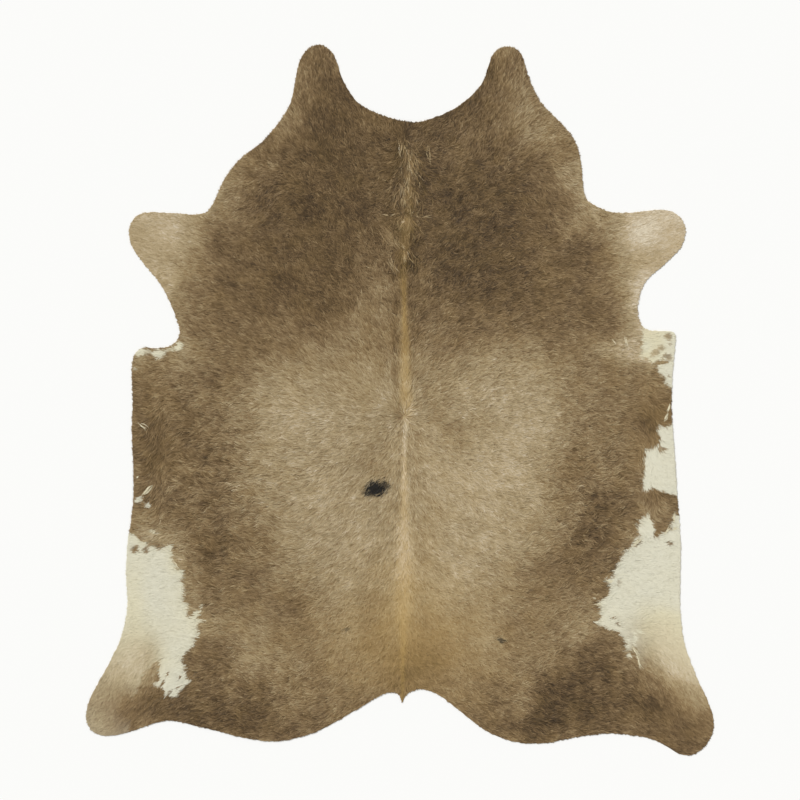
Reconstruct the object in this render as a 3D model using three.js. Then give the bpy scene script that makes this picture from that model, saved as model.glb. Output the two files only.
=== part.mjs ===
// A whole cowhide rug, tanned with the hair on and trimmed along its natural outline.
// Millimetres, +Z up. The hide lies flesh side down on z = 0, its neck towards +Y, its tail towards -Y,
// and the origin is under the middle of its outline. Right and left are as seen from the hair side.
import * as THREE from 'three';
import { mergeVertices } from 'three/addons/utils/BufferGeometryUtils.js';

// Driving dimensions
const leatherThickness = 2.4;   // tanned and shaved skin, all that shows at the cut edge
const lyingHair = 1.9;          // depth of the coat where it lies flat on the back
const thinnestHair = 0.7;       // depth of the coat on the shanks and the neck lobes
const edgeRoll = 4;             // the coat rolls over this close to the cut edge
const edgeTaper = 15;           // and reaches its full depth this far inside it
const raysPerLandmark = 3;      // outline points worked out between one landmark and the next

// The cut edge, anticlockwise from the tail: [x, y] of each landmark in mm. Landmarks stand closer
// together where the edge turns sharply, and a smooth curve runs through all of them.
const cutEdge = {
  tail: [[-5, -956], [4, -972], [8, -981], [12, -970], [20, -957]],
  rightButtock: [
    [38, -944], [72, -938], [126, -958], [190, -1006], [278, -1073], [360, -1106], [457, -1114],
    [560, -1096], [662, -1082], [765, -1089], [826, -1104],
  ],
  rightHindLeg: [
    [870, -1127], [908, -1149], [945, -1152], [985, -1128], [1013, -1083], [1017, -1036], [993, -966],
    [957, -888], [920, -780],
  ],
  rightBelly: [
    [908, -673], [908, -585], [910, -471], [898, -292], [887, -130], [880, -16], [884, 90],
    [893, 196],
  ],
  rightForeleg: [
    [891, 214], [878, 223], [812, 226], [784, 242], [771, 280], [775, 332], [797, 387], [864, 448],
    [911, 499], [926, 549], [914, 587], [884, 611], [838, 618], [760, 610], [690, 610], [634, 632],
  ],
  rightShoulder: [[604, 655], [593, 698], [586, 777], [565, 846], [526, 896]],
  rightNeckLobe: [
    [453, 972], [413, 1060], [398, 1113], [380, 1138], [349, 1149], [317, 1139], [295, 1111],
    [283, 1068], [258, 1018], [196, 960], [120, 921],
  ],
  neck: [[46, 903], [-46, 921], [-122, 955]],
  leftNeckLobe: [
    [-160, 993], [-191, 1052], [-212, 1113], [-238, 1145], [-266, 1155], [-294, 1144], [-320, 1115],
    [-335, 1068], [-352, 977],
  ],
  leftShoulder: [[-374, 931], [-447, 840], [-510, 792], [-568, 723], [-609, 636]],
  leftForeleg: [
    [-632, 609], [-665, 603], [-740, 607], [-826, 609], [-854, 598], [-873, 575], [-880, 542],
    [-869, 499], [-829, 441], [-777, 377], [-732, 282], [-715, 224], [-722, 197], [-748, 176],
    [-793, 168], [-830, 170],
  ],
  leftBelly: [
    [-852, 160], [-866, 138], [-871, 91], [-868, -5], [-871, -100], [-865, -260], [-869, -358],
    [-883, -455], [-889, -570], [-884, -663], [-896, -738],
  ],
  leftHindLeg: [
    [-920, -806], [-992, -940], [-1015, -993], [-1018, -1038], [-1003, -1071], [-972, -1087],
    [-925, -1087], [-862, -1070],
  ],
  leftButtock: [
    [-756, -1040], [-650, -1060], [-490, -1099], [-396, -1107], [-276, -1078], [-163, -1017],
    [-58, -956], [-23, -947],
  ],
};

// The mane and the coat along the spine stand up in a low ridge between these two places
const spineRidge = { x: 15, from: -900, to: 830, halfWidth: 42, fade: 120, height: 1.5 };

// Where the coat is deeper or shallower than on the back, each a soft round patch
const coatPatches = [
  { place: 'left flank', x: -610, y: -430, radius: 330, height: 0.9 },
  { place: 'right flank', x: 640, y: -430, radius: 330, height: 0.9 },
  { place: 'whorl', x: 13, y: -55, radius: 60, height: 0.8 },
  { place: 'left foreleg', x: -820, y: 520, radius: 170, height: -1.0 },
  { place: 'right foreleg', x: 860, y: 520, radius: 170, height: -1.0 },
  { place: 'left hind leg', x: -960, y: -1020, radius: 190, height: -1.0 },
  { place: 'right hind leg', x: 960, y: -1060, radius: 190, height: -1.0 },
  { place: 'left neck lobe', x: -266, y: 1100, radius: 150, height: -0.8 },
  { place: 'right neck lobe', x: 349, y: 1090, radius: 150, height: -0.8 },
];

// Long low swells that the skin keeps from drying: wavelengths across and along the hide
const swells = [
  { across: 620, along: 880, phase: 0.6, height: 0.35 },
  { across: -430, along: 520, phase: 2.1, height: 0.25 },
  { across: 1150, along: -340, phase: 4.0, height: 0.2 },
];

// The section of the hide along one ray, from the middle of the flesh side round to the middle of the
// hair side. share is how far out along the ray, inset is mm back from the cut edge, and skin and
// coat are the shares of the leather's thickness and of the hair's depth below the point.
const section = [
  { share: 0, inset: 0, skin: 0, coat: 0 },
  { share: 1, inset: 0, skin: 0, coat: 0 },
  { share: 1, inset: 0, skin: 1, coat: 0 },
  { share: 1, inset: edgeRoll, skin: 1, coat: 0.6 },
  { share: 1, inset: edgeTaper, skin: 1, coat: 1 },
  { share: 0.92, inset: 0, skin: 1, coat: 1 },
  { share: 0.83, inset: 0, skin: 1, coat: 1 },
  { share: 0.73, inset: 0, skin: 1, coat: 1 },
  { share: 0.62, inset: 0, skin: 1, coat: 1 },
  { share: 0.5, inset: 0, skin: 1, coat: 1 },
  { share: 0.36, inset: 0, skin: 1, coat: 1 },
  { share: 0.2, inset: 0, skin: 1, coat: 1 },
  { share: 0, inset: 0, skin: 1, coat: 1 },
];

// Points along the cut edge, moved so that the origin is in the middle of the outline
function outlinePoints() {
  const landmarks = Object.values(cutEdge).flat().map(([x, y]) => new THREE.Vector3(x, y, 0));
  const curve = new THREE.CatmullRomCurve3(landmarks, true, 'centripetal');
  const points = curve.getPoints(landmarks.length * raysPerLandmark).slice(0, -1);
  const middle = new THREE.Box3().setFromPoints(points).getCenter(new THREE.Vector3());
  return points.map((point) => point.sub(middle));
}

// A bell-shaped bump: 1 in its middle and almost 0 at twice its radius
function bump(distance, radius) {
  return Math.exp(-((distance / radius) ** 2));
}

// Depth of the hair above the leather at a place on the hide
function coatDepth(x, y) {
  const beyondRidge = Math.max(0, y - spineRidge.to, spineRidge.from - y);
  const alongRidge = bump(beyondRidge, spineRidge.fade);
  const ridge = spineRidge.height * alongRidge * bump(x - spineRidge.x, spineRidge.halfWidth);
  const patches = coatPatches.map((patch) => (
    patch.height * bump(Math.hypot(x - patch.x, y - patch.y), patch.radius)
  ));
  const waves = swells.map((swell) => (
    swell.height * Math.sin(2 * Math.PI * (x / swell.across + y / swell.along) + swell.phase)
  ));
  const changes = [...patches, ...waves].reduce((sum, change) => sum + change, ridge);
  return Math.max(thinnestHair, lyingHair + changes);
}

// One closed solid: a disc is turned on the lathe with the hide's section, and each of its rays is
// then stretched until it reaches the cut edge
function hideGeometry() {
  const edge = outlinePoints();
  const profile = section.map((ring) => new THREE.Vector2(ring.share, ring.skin + ring.coat));
  const geometry = new THREE.LatheGeometry(profile, edge.length);
  const position = geometry.getAttribute('position');
  for (let index = 0; index < position.count; index += 1) {
    const edgePoint = edge[Math.floor(index / section.length) % edge.length];
    const ring = section[index % section.length];
    const reach = Math.hypot(edgePoint.x, edgePoint.y);
    const stretch = (ring.share * reach - ring.inset) / reach;
    const x = edgePoint.x * stretch;
    const y = edgePoint.y * stretch;
    position.setXYZ(index, x, y, ring.skin * leatherThickness + ring.coat * coatDepth(x, y));
  }
  geometry.deleteAttribute('normal');
  geometry.deleteAttribute('uv');
  const solid = mergeVertices(geometry);
  solid.computeVertexNormals();
  return solid;
}

function makeHide() {
  const hairOnLeather = new THREE.MeshStandardMaterial({ color: 0x7d6a4e, roughness: 0.85, metalness: 0 });
  const hide = new THREE.Mesh(hideGeometry(), hairOnLeather);
  hide.name = 'hide';
  return hide;
}

const group = new THREE.Group();
group.add(makeHide());

export default group;
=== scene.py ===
"""A whole cowhide rug lying hair side up: its leather, its short coat and the mane along its spine.

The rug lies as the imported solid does: flesh side on z = 0, neck towards +Y, and right and left as seen
from the hair side. Tables are in millimetres and degrees, meshes in metres.
"""
from __future__ import annotations

import logging
import math
from dataclasses import dataclass, field
from enum import Enum

import bpy
import numpy as np
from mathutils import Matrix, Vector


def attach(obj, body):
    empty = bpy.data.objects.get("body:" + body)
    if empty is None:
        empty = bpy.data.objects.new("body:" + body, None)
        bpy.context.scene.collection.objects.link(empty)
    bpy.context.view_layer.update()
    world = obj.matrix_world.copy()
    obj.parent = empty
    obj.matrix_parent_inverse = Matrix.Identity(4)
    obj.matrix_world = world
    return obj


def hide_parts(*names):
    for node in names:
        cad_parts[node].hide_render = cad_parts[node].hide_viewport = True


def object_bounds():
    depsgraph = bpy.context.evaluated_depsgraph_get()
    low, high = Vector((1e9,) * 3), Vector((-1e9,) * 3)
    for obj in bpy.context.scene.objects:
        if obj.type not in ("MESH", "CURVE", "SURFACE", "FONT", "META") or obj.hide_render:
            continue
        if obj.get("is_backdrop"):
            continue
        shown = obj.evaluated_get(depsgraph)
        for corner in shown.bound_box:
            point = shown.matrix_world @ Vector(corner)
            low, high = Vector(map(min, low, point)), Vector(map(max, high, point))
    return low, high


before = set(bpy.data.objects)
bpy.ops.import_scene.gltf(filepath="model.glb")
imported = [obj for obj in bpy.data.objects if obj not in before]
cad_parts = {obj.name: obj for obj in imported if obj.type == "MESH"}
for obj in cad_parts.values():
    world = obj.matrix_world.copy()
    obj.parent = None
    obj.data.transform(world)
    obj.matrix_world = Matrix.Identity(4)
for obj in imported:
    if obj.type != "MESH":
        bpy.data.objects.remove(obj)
CAD_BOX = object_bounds()
LOG = logging.getLogger("cowhide_rug")

MM = 0.001
BODY = "root"
NODE = "hide"
BAKE_MAP = "OFBake"

# Where the spine runs and where the coat parts on it
SPINE_X = 14.0
WHORL_Y = -52.0

Array = np.ndarray


class Side(Enum):
    """Which faces of the hide a finish goes on: the values are its materials' places on the mesh."""

    HAIR = 0
    EDGE = 1
    FLESH = 2


@dataclass(frozen=True)
class Patch:
    """A soft oval place on the hide: how far it reaches across and along, and how much it adds.

    A firm of 1 fades like a bell, and a larger one has a flatter middle and a firmer rim.
    """

    place: str
    x: float
    y: float
    across: float
    along: float
    amount: float
    firm: float = 1.0


@dataclass(frozen=True)
class Combed:
    """A place where the hair lies its own way on both sides of the spine.

    out is the distance from the spine, and heading the angle from straight outwards, positive
    towards the neck.
    """

    place: str
    out: float
    y: float
    across: float
    along: float
    heading: float


@dataclass(frozen=True)
class Dash:
    """A short lick of hair in another colour: its middle, its half length, half width and heading."""

    x: float
    y: float
    half_length: float
    half_width: float
    heading: float
    amount: float


@dataclass(frozen=True)
class Lean:
    """How the coat leans on one quarter of the hide, seen from the whorl.

    towards is 1 for the neck and -1 for the tail, and side 1 for the right and -1 for the left. The
    hair leans by the tangent close to the spine, and the lean fades out at fade_mm from it, more
    for each mm from the whorl by the spread.
    """

    side: int
    towards: int
    tangent: float
    fade_mm: float
    spread: float


@dataclass(frozen=True)
class Wisp:
    """A few single locks of another colour, side by side: where they root, and how they lie."""

    x: float
    y: float
    heading: float
    length: float
    count: int
    spread: float
    tone: float
    cream: float = 0.0


@dataclass(frozen=True)
class SpineStation:
    """The coloured stripe along the spine at one place: how wide, how golden and how pale it is."""

    y: float
    x: float
    half_width: float
    gold: float
    tone: float


# How light the coat is: 0 is the dark brown of the shoulders, 1 the pale taupe of the back
BASE_TONE = 0.30
TONE = (
    Patch("shoulders", 45, 610, 585, 385, -0.26, 2.0),
    Patch("left of the belt", -400, 345, 160, 90, -0.12),
    Patch("withers", -20, 330, 100, 150, 0.28),
    Patch("beside the mane", -65, 610, 50, 170, 0.14),
    Patch("blot behind the mane", 32, 448, 30, 30, -0.26),
    Patch("neck on the left", -195, 960, 90, 90, -0.12),
    Patch("neck on the right", 240, 840, 120, 80, 0.15),
    Patch("left shoulder rim", -590, 650, 95, 140, 0.55),
    Patch("left side of the neck", -385, 900, 60, 120, 0.35),
    Patch("left neck lobe", -320, 1040, 36, 90, 0.14),
    Patch("left neck lobe, inner", -235, 1020, 45, 60, -0.12),
    Patch("right shoulder rim", 617, 682, 100, 130, 0.65),
    Patch("right side of the neck", 450, 885, 102, 125, 0.45),
    Patch("right neck lobe", 320, 1125, 50, 45, 0.22),
    Patch("left foreleg", -800, 530, 150, 195, 0.76, 1.4),
    Patch("left armpit", -715, 195, 75, 110, 0.45),
    Patch("right foreleg", 850, 535, 150, 225, 1.05, 1.4),
    Patch("right armpit", 800, 260, 70, 140, 0.80),
    Patch("left of the back", -228, -228, 310, 420, 0.55, 2.0),
    Patch("ahead on the left", -430, 10, 170, 110, 0.18),
    Patch("ahead in the middle", 10, 90, 110, 80, 0.18),
    Patch("right of the back", 312, -185, 268, 390, 0.62, 2.2),
    Patch("loin", 55, -560, 140, 140, 0.30),
    Patch("right flank above", 682, -85, 120, 180, 0.20),
    Patch("right flank", 650, -380, 90, 150, -0.20),
    Patch("left flank", -683, -504, 80, 80, -0.20),
    Patch("left belly streaks", -829, -406, 65, 50, 0.40),
    Patch("above the left cream", -715, -450, 50, 35, 0.20),
    Patch("left of the rump", -180, -780, 215, 228, 0.24, 1.3),
    Patch("right of the rump", 250, -765, 235, 250, 0.32, 1.3),
    Patch("by the tail", 20, -895, 60, 60, -0.20),
    Patch("left thigh", -500, -790, 140, 140, 0.30),
    Patch("right thigh", 560, -690, 120, 170, 0.18),
    Patch("below the left cream", -634, -850, 90, 120, -0.12),
    Patch("left buttock", -683, -1024, 195, 70, -0.22, 1.2),
    Patch("inner left buttock", -439, -965, 75, 80, -0.30),
    Patch("right buttock", 545, -965, 190, 105, -0.37, 1.3),
    Patch("inner right buttock", 440, -1050, 90, 50, -0.18),
    Patch("below the right cream", 650, -850, 80, 70, -0.22),
    Patch("right hock", 825, -980, 100, 85, -0.25),
    Patch("left shank", -965, -965, 115, 130, 0.38),
    Patch("left hoof end", -930, -1000, 60, 40, -0.14),
    Patch("left hock", -832, -985, 52, 45, -0.20),
    Patch("left hock rim", -815, -1045, 45, 26, 0.20),
    Patch("left hoof rim", -985, -1058, 45, 38, 0.14),
    Patch("left stifle", -866, -838, 100, 95, 0.72),
    Patch("right shank", 985, -945, 80, 100, 0.50),
    Patch("right hoof end", 950, -1045, 60, 70, -0.16),
    Patch("right stifle", 894, -829, 100, 100, 0.84),
    Patch("right of the whorl", 198, -130, 72, 100, -0.30),
    Patch("left of the whorl", -114, -195, 80, 80, -0.17),
    Patch("behind the right ribs", 556, -195, 62, 115, -0.28),
    Patch("left ribs, outer", -415, -200, 42, 45, -0.12),
    Patch("behind the right shoulder", 570, 195, 90, 32, 0.15),
    Patch("left shoulder, under", -552, 520, 50, 45, -0.16),
    Patch("left foreleg, under", -745, 455, 40, 30, -0.15),
    Patch("right of the knots", 70, 545, 22, 45, 0.15),
    Patch("before the withers", -120, 468, 60, 45, 0.15),
    Patch("right thigh, pale", 740, -838, 35, 35, 0.16),
    Patch("right flank, low", 552, -487, 45, 45, -0.14),
    Patch("dull beside the loin", 480, -560, 110, 110, -0.14),
    Patch("pale over the left ribs", -292, -325, 55, 60, 0.14),
    Patch("left belly seam", -800, -148, 46, 100, -0.28),
    Patch("between the right creams", 812, -65, 50, 55, -0.22),
    Patch("beige by the right corner", 718, 165, 95, 42, 0.46),
    Patch("beige under the right corner", 784, 132, 46, 26, 0.34),
    Patch("white in the right corner", 795, 172, 24, 36, -0.50),
    Patch("tan between the right creams", 834, -364, 45, 34, 0.36),
    Patch("tan by the right cream", 745, -432, 32, 36, 0.30),
    Patch("tan by the right cream's tips", 592, -752, 45, 50, 0.22),
    Patch("pale behind the left corner", -835, 130, 38, 36, 0.40),
    Patch("left elbow", -750, 357, 32, 40, 0.28),
    Patch("left armpit, inner", -675, 225, 40, 50, -0.20),
    Patch("tan beside the left cream", -675, -620, 38, 110, 0.32),
    Patch("tan above the left cream", -795, -452, 52, 26, 0.44),
    Patch("left foreleg tip", -850, 555, 45, 45, -0.17),
    Patch("right foreleg tip", 888, 520, 48, 60, -0.26),
    Patch("right foreleg, above", 768, 545, 45, 30, 0.18),
    Patch("right foreleg, under", 758, 450, 45, 35, -0.20),
    Patch("left shoulder, top", -487, 778, 45, 45, 0.20),
    Patch("left shoulder, lower", -510, 635, 65, 38, -0.16),
    Patch("right shoulder, top", 525, 720, 36, 32, 0.20),
    Patch("right shoulder, middle", 525, 642, 45, 42, -0.22),
    Patch("right shoulder, lower", 555, 552, 50, 35, 0.18),
    Patch("right of the mane", 165, 752, 55, 55, 0.17),
    Patch("ahead of the right flank", 538, 96, 138, 50, 0.14),
    Patch("right of the belt", 352, 205, 45, 45, -0.17),
    Patch("beside the withers, outer", -145, 270, 60, 100, 0.15),
    Patch("left of the whorl, close", -48, 0, 28, 45, 0.16),
    Patch("right of the stripe, close", 48, 10, 24, 42, 0.16),
    Patch("right of the back, outer", 430, -85, 60, 45, 0.20),
    Patch("right of the thin stripe", 65, -260, 26, 45, -0.15),
    Patch("right belly", 790, -95, 45, 60, -0.10),
    Patch("right of the loin", 178, -525, 60, 85, 0.20),
    Patch("right of the rump, dull", 357, -745, 48, 48, -0.15),
    Patch("left of the rump, dull", -357, -650, 40, 40, -0.15),
    Patch("left buttock rim", -425, -1068, 50, 28, -0.12),
    Patch("right buttock rim", 357, -1072, 45, 28, -0.16),
    Patch("right buttock, dark", 490, -1005, 34, 34, -0.16),
    Patch("right buttock, outer", 620, -945, 40, 34, 0.18),
    Patch("ahead of the left foreleg", -590, 545, 42, 70, -0.30),
    Patch("left neck, lower", -383, 812, 40, 70, -0.18),
    Patch("right neck, upper", 165, 936, 60, 30, -0.20),
    Patch("inner right lobe", 290, 1066, 30, 42, -0.26),
    Patch("right neck, lower", 325, 812, 40, 40, -0.15),
    Patch("right shoulder blade", 455, 487, 52, 50, 0.18),
    Patch("behind the right foreleg", 829, 461, 60, 55, -0.44),
    Patch("behind the left foreleg", -820, 480, 70, 40, -0.18),
    Patch("beside the withers", -95, 345, 55, 75, 0.23),
    Patch("right of the tail", 88, -850, 98, 75, -0.31),
    Patch("right of the tail, upper", 125, -765, 60, 80, -0.09),
    Patch("left of the tail", -85, -760, 75, 90, -0.08),
    Patch("pale beside the thin stripe", 16, -520, 55, 135, 0.09),
    Patch("left behind the whorl", -22, -90, 22, 35, 0.10),
    Patch("yellow by the left cream's edge", -865, -650, 40, 110, 0.40),
    Patch("yellow in the right cream, lower", 840, -725, 90, 60, 0.45),
    Patch("left thigh, inner", -331, -715, 50, 115, -0.16),
    Patch("left thigh, outer", -490, -850, 45, 50, 0.15),
    Patch("left hip", -404, -925, 40, 90, 0.32),
    Patch("left hip, inner", -260, -877, 40, 42, -0.16),
    Patch("right hip", 402, -970, 36, 75, 0.38),
    Patch("right thigh, inner", 490, -850, 45, 50, 0.15),
    Patch("right hock, inner", 682, -942, 52, 42, 0.18),
    Patch("right shank, upper", 890, -915, 40, 35, 0.16),
    Patch("by the left cream", -585, -812, 40, 50, -0.15),
    Patch("tan in the left cream", -722, -520, 34, 50, 0.54),
    Patch("by the left cream's tips", -620, -730, 50, 50, 0.28),
    Patch("left of the mane", -240, 780, 60, 60, -0.12),
    Patch("left of the knots", -27, 515, 28, 48, 0.24),
    Patch("left blot behind the knots", -16, 415, 16, 34, -0.22),
    Patch("right below the knots", 48, 472, 22, 24, 0.20),
    Patch("right of the withers", 66, 390, 25, 35, 0.16),
    Patch("right of the stripe", 82, 155, 38, 55, 0.24),
    Patch("right ribs", 485, 10, 60, 50, 0.12),
    Patch("right flank rim", 500, -270, 45, 100, -0.14),
    Patch("pale tuft on the right flank", 655, -275, 36, 36, 0.32),
    Patch("left flank rim", -472, -412, 60, 58, -0.20),
    Patch("left belly rim", -850, -245, 20, 60, 0.18),
    Patch("over the rump", -175, -600, 45, 30, 0.14),
    Patch("right neck rim", 395, 980, 40, 120, 0.16),
    Patch("right side of the neck, dull", 522, 812, 34, 38, -0.14),
    Patch("right of the withers, outer", 135, 255, 75, 60, 0.15),
    Patch("right of the mane, close", 66, 650, 20, 50, 0.14),
    Patch("tan at the right cream's corner", 612, -650, 26, 30, 0.22),
    Patch("right of the rump, pale", 290, -785, 40, 38, 0.18),
    Patch("inner left buttock, pale", -325, -995, 45, 50, 0.18),
    Patch("left buttock, upper", -580, -858, 38, 34, -0.18),
    Patch("left ribs, pale", -490, -160, 38, 42, 0.15),
    Patch("right belly, tan", 780, -325, 30, 30, 0.18),
)

# How golden the coat is beside the stripe
GOLD = (
    Patch("rump", 20, -800, 260, 180, 0.30),
    Patch("rump, by the tail", 10, -880, 110, 90, 0.02),
    Patch("loin", 5, -590, 110, 160, 0.14),
    Patch("left belly seam", -780, -100, 60, 220, 0.07),
    Patch("right belly seam", 840, -90, 60, 220, 0.10),
)

# The stripe along the spine, from the neck to the tail
STRIPE = (
    SpineStation(850, 6, 14, 0.00, 0.05),
    SpineStation(764, 32, 10, 0.08, 0.22),
    SpineStation(690, 28, 15, 0.12, 0.24),
    SpineStation(606, 26, 16, 0.20, 0.06),
    SpineStation(500, 12, 18, 0.20, 0.06),
    SpineStation(445, 12, 16, 0.16, -0.30),
    SpineStation(400, 10, 13, 0.34, -0.16),
    SpineStation(350, 13, 8, 0.36, -0.06),
    SpineStation(270, 14, 8, 0.46, 0.02),
    SpineStation(195, 17, 14, 0.45, 0.08),
    SpineStation(97, 17, 16, 0.46, 0.24),
    SpineStation(0, 20, 20, 0.46, 0.26),
    SpineStation(-34, 30, 20, 0.32, 0.28),
    SpineStation(-81, 19, 8, 0.02, 0.42),
    SpineStation(-146, 14, 7, 0.14, 0.46),
    SpineStation(-260, 14, 9, 0.42, 0.42),
    SpineStation(-390, 14, 14, 0.37, 0.40),
    SpineStation(-520, 13, 26, 0.34, 0.36),
    SpineStation(-650, 11, 28, 0.26, 0.28),
    SpineStation(-780, 11, 13, 0.22, 0.08),
    SpineStation(-850, 9, 7, 0.24, -0.08),
    SpineStation(-960, 8, 6, 0.30, -0.34),
)

# Small lighter and darker licks in the coat, and a few lines of painted shade beside the stripe and in a
# crease
TINTS = (
    Dash(40, 440, 26, 20, -60, -0.30),
    Dash(-14, 310, 28, 11, 80, -0.36),
    # A dark line left of the stripe between the withers and the whorl: painted shade beside the stripe
    Dash(-20, 200, 110, 8, 88, -0.20),
    Dash(-9, -48, 26, 9, 80, -0.22),
    # More of the painted shade left of the stripe, down to the whorl
    Dash(-14, 60, 70, 7, 86, -0.16),
    Dash(54, 512, 30, 12, 34, -0.28),
    Dash(46, -28, 24, 13, -70, 0.16),
    Dash(28, 605, 14, 10, 0, -0.35),
    Dash(-30, 700, 40, 6, 70, 0.22),
    Dash(60, 700, 26, 18, 0, -0.16),
    Dash(585, -335, 50, 4, 10, 0.40),
    Dash(590, -355, 42, 3, 22, 0.35),
    # A long thin dark line on the right, ahead of the flank: painted shade in a crease of the hide
    Dash(660, 110, 115, 4, -8, -0.14),
    Dash(-400, 780, 60, 22, 60, 0.16),
    Dash(-445, 745, 50, 18, 40, 0.16),
    Dash(-370, 820, 50, 16, 70, -0.12),
    Dash(-585, -500, 46, 16, 20, -0.22),
    Dash(-560, -460, 40, 12, -25, -0.18),
    Dash(-610, -330, 44, 14, 15, -0.18),
    Dash(-560, -275, 34, 10, -20, 0.20),
    Dash(600, -420, 50, 20, -15, -0.16),
    Dash(640, -300, 46, 16, 25, -0.18),
    Dash(-60, -480, 40, 12, 45, -0.10),
)

# The cream patches, as outlines in mm
LEFT_CREAM = (
    (-930, -430), (-866, -432), (-848, -449), (-826, -468), (-803, -471), (-780, -481), (-748, -474),
    (-738, -507), (-722, -552), (-708, -562), (-702, -617), (-702, -656), (-686, -670), (-692, -709),
    (-673, -695), (-653, -686), (-640, -663), (-646, -689), (-660, -708), (-640, -718), (-660, -725),
    (-650, -757), (-650, -774), (-666, -777), (-670, -800), (-696, -816), (-708, -845), (-699, -884),
    (-692, -907), (-679, -904), (-682, -920), (-702, -930), (-715, -946), (-722, -962), (-744, -965),
    (-754, -952), (-760, -962), (-774, -933), (-790, -933), (-800, -920), (-780, -907), (-787, -878),
    (-774, -865), (-790, -850), (-832, -888), (-856, -945), (-872, -1000), (-885, -1110),
    (-1070, -1110), (-960, -700),
)
RIGHT_CORNER = (
    (790, 240), (930, 240), (930, 20), (887, 26), (872, 50), (853, 70), (836, 90), (828, 108),
    (858, 116), (878, 124), (852, 134), (835, 130), (818, 117), (806, 125), (798, 140), (784, 128),
    (776, 145), (788, 175), (782, 205),
)
RIGHT_MIDDLE = (
    (880, -80), (866, -91), (845, -84), (840, -104), (851, -130), (830, -154), (800, -164),
    (793, -182), (797, -211), (786, -254), (788, -295), (810, -288), (835, -287), (860, -301),
    (886, -312), (930, -318), (930, -80),
)
RIGHT_CREAM = (
    (930, -372), (890, -372), (882, -396), (880, -425), (855, -435), (832, -452), (812, -455),
    (822, -425), (822, -395), (806, -372), (782, -382), (770, -414), (777, -440), (760, -455),
    (745, -480), (722, -500), (700, -550), (689, -575), (672, -580), (684, -603), (668, -648),
    (656, -650), (638, -662), (652, -680), (644, -725), (685, -747), (716, -762), (730, -784),
    (732, -812), (750, -812), (758, -790), (766, -820), (780, -870), (800, -880), (900, -900),
    (1010, -940), (1010, -600),
)
CREAM_OUTLINES = (LEFT_CREAM, RIGHT_CORNER, RIGHT_MIDDLE, RIGHT_CREAM)

# Where cream fades through pinkish taupe into the legs: it takes cream away
CREAM_FADE = (
    Patch("left shank", -945, -985, 165, 205, 0.90, 1.5),
    Patch("left hock", -874, -1005, 42, 70, 0.20),
    Patch("left thigh", -815, -830, 38, 60, 0.45),
    Patch("left lobe stays white", -745, -905, 45, 60, -0.5),
    Patch("right shank", 885, -1000, 140, 155, 1.35),
    Patch("right thigh", 795, -855, 70, 105, 0.52),
    Patch("right thigh, inner", 780, -745, 50, 50, 0.12),
)

# Small cream licks beside the patches, and brown ones inside them
WHITE_DASHES = (
    Dash(-842, 155, 17, 12, 10, 1.0),
    Dash(-785, 150, 20, 13, -10, 1.0),
    Dash(-818, 158, 12, 8, 0, 0.6),
    Dash(-748, 163, 22, 5, 15, 0.6),
    Dash(-719, 174, 17, 11, 50, 1.0),
    Dash(-862, 101, 6, 6, 0, 0.5),
    Dash(-850, -326, 12, 8, 30, 1.0),
    Dash(-818, -340, 10, 7, -40, 0.9),
    Dash(-800, -430, 14, 4, -35, 0.8),
    Dash(762, -779, 24, 7, -90, 1.0),
    Dash(775, -752, 14, 6, -20, 1.0),
    Dash(741, -790, 17, 8, 80, 1.0),
    Dash(745, -829, 9, 8, 30, 0.9),
)

BROWN_DASHES = (
    Dash(-860, -485, 13, 9, 60, 1.0),
    Dash(-822, -487, 12, 10, 60, 0.9),
    Dash(-757, -890, 12, 4, 65, 1.0),
    Dash(-772, -920, 10, 4, 55, 1.0),
    Dash(-712, -900, 6, 4, 50, 0.9),
    Dash(-722, -933, 7, 3, 40, 0.9),
    Dash(-745, -948, 9, 4, 55, 0.8),
    Dash(870, 206, 14, 10, -60, 0.8),
    Dash(874, 184, 5, 4, 0, 0.6),
    Dash(833, 158, 27, 9, 37, 0.8),
    Dash(868, 141, 18, 10, -32, 0.75),
    Dash(871, 78, 4, 6, 0, 0.7),
    Dash(850, -160, 14, 9, 20, 0.9),
    Dash(875, -468, 10, 7, 10, 0.9),
    Dash(870, -410, 12, 8, 45, 0.6),
    Dash(770, -468, 14, 6, 38, 0.9),
    Dash(708, -600, 5, 12, 10, 0.5),
    Dash(694, -707, 5, 5, 0, 0.9),
    Dash(705, -728, 11, 5, -55, 0.9),
)

# The one black mark, in two parts, and three small dark flecks
BLACK_MARKS = (
    Dash(-78, -289, 38, 25, 4, 1.0),
    Dash(-58, -281, 24, 20, 10, 0.85),
    Dash(330, -780, 12, 9, -20, 0.75),
    Dash(425, -618, 10, 3, 10, 0.35),
    Dash(-172, -745, 14, 5, 15, 0.5),
)
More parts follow.
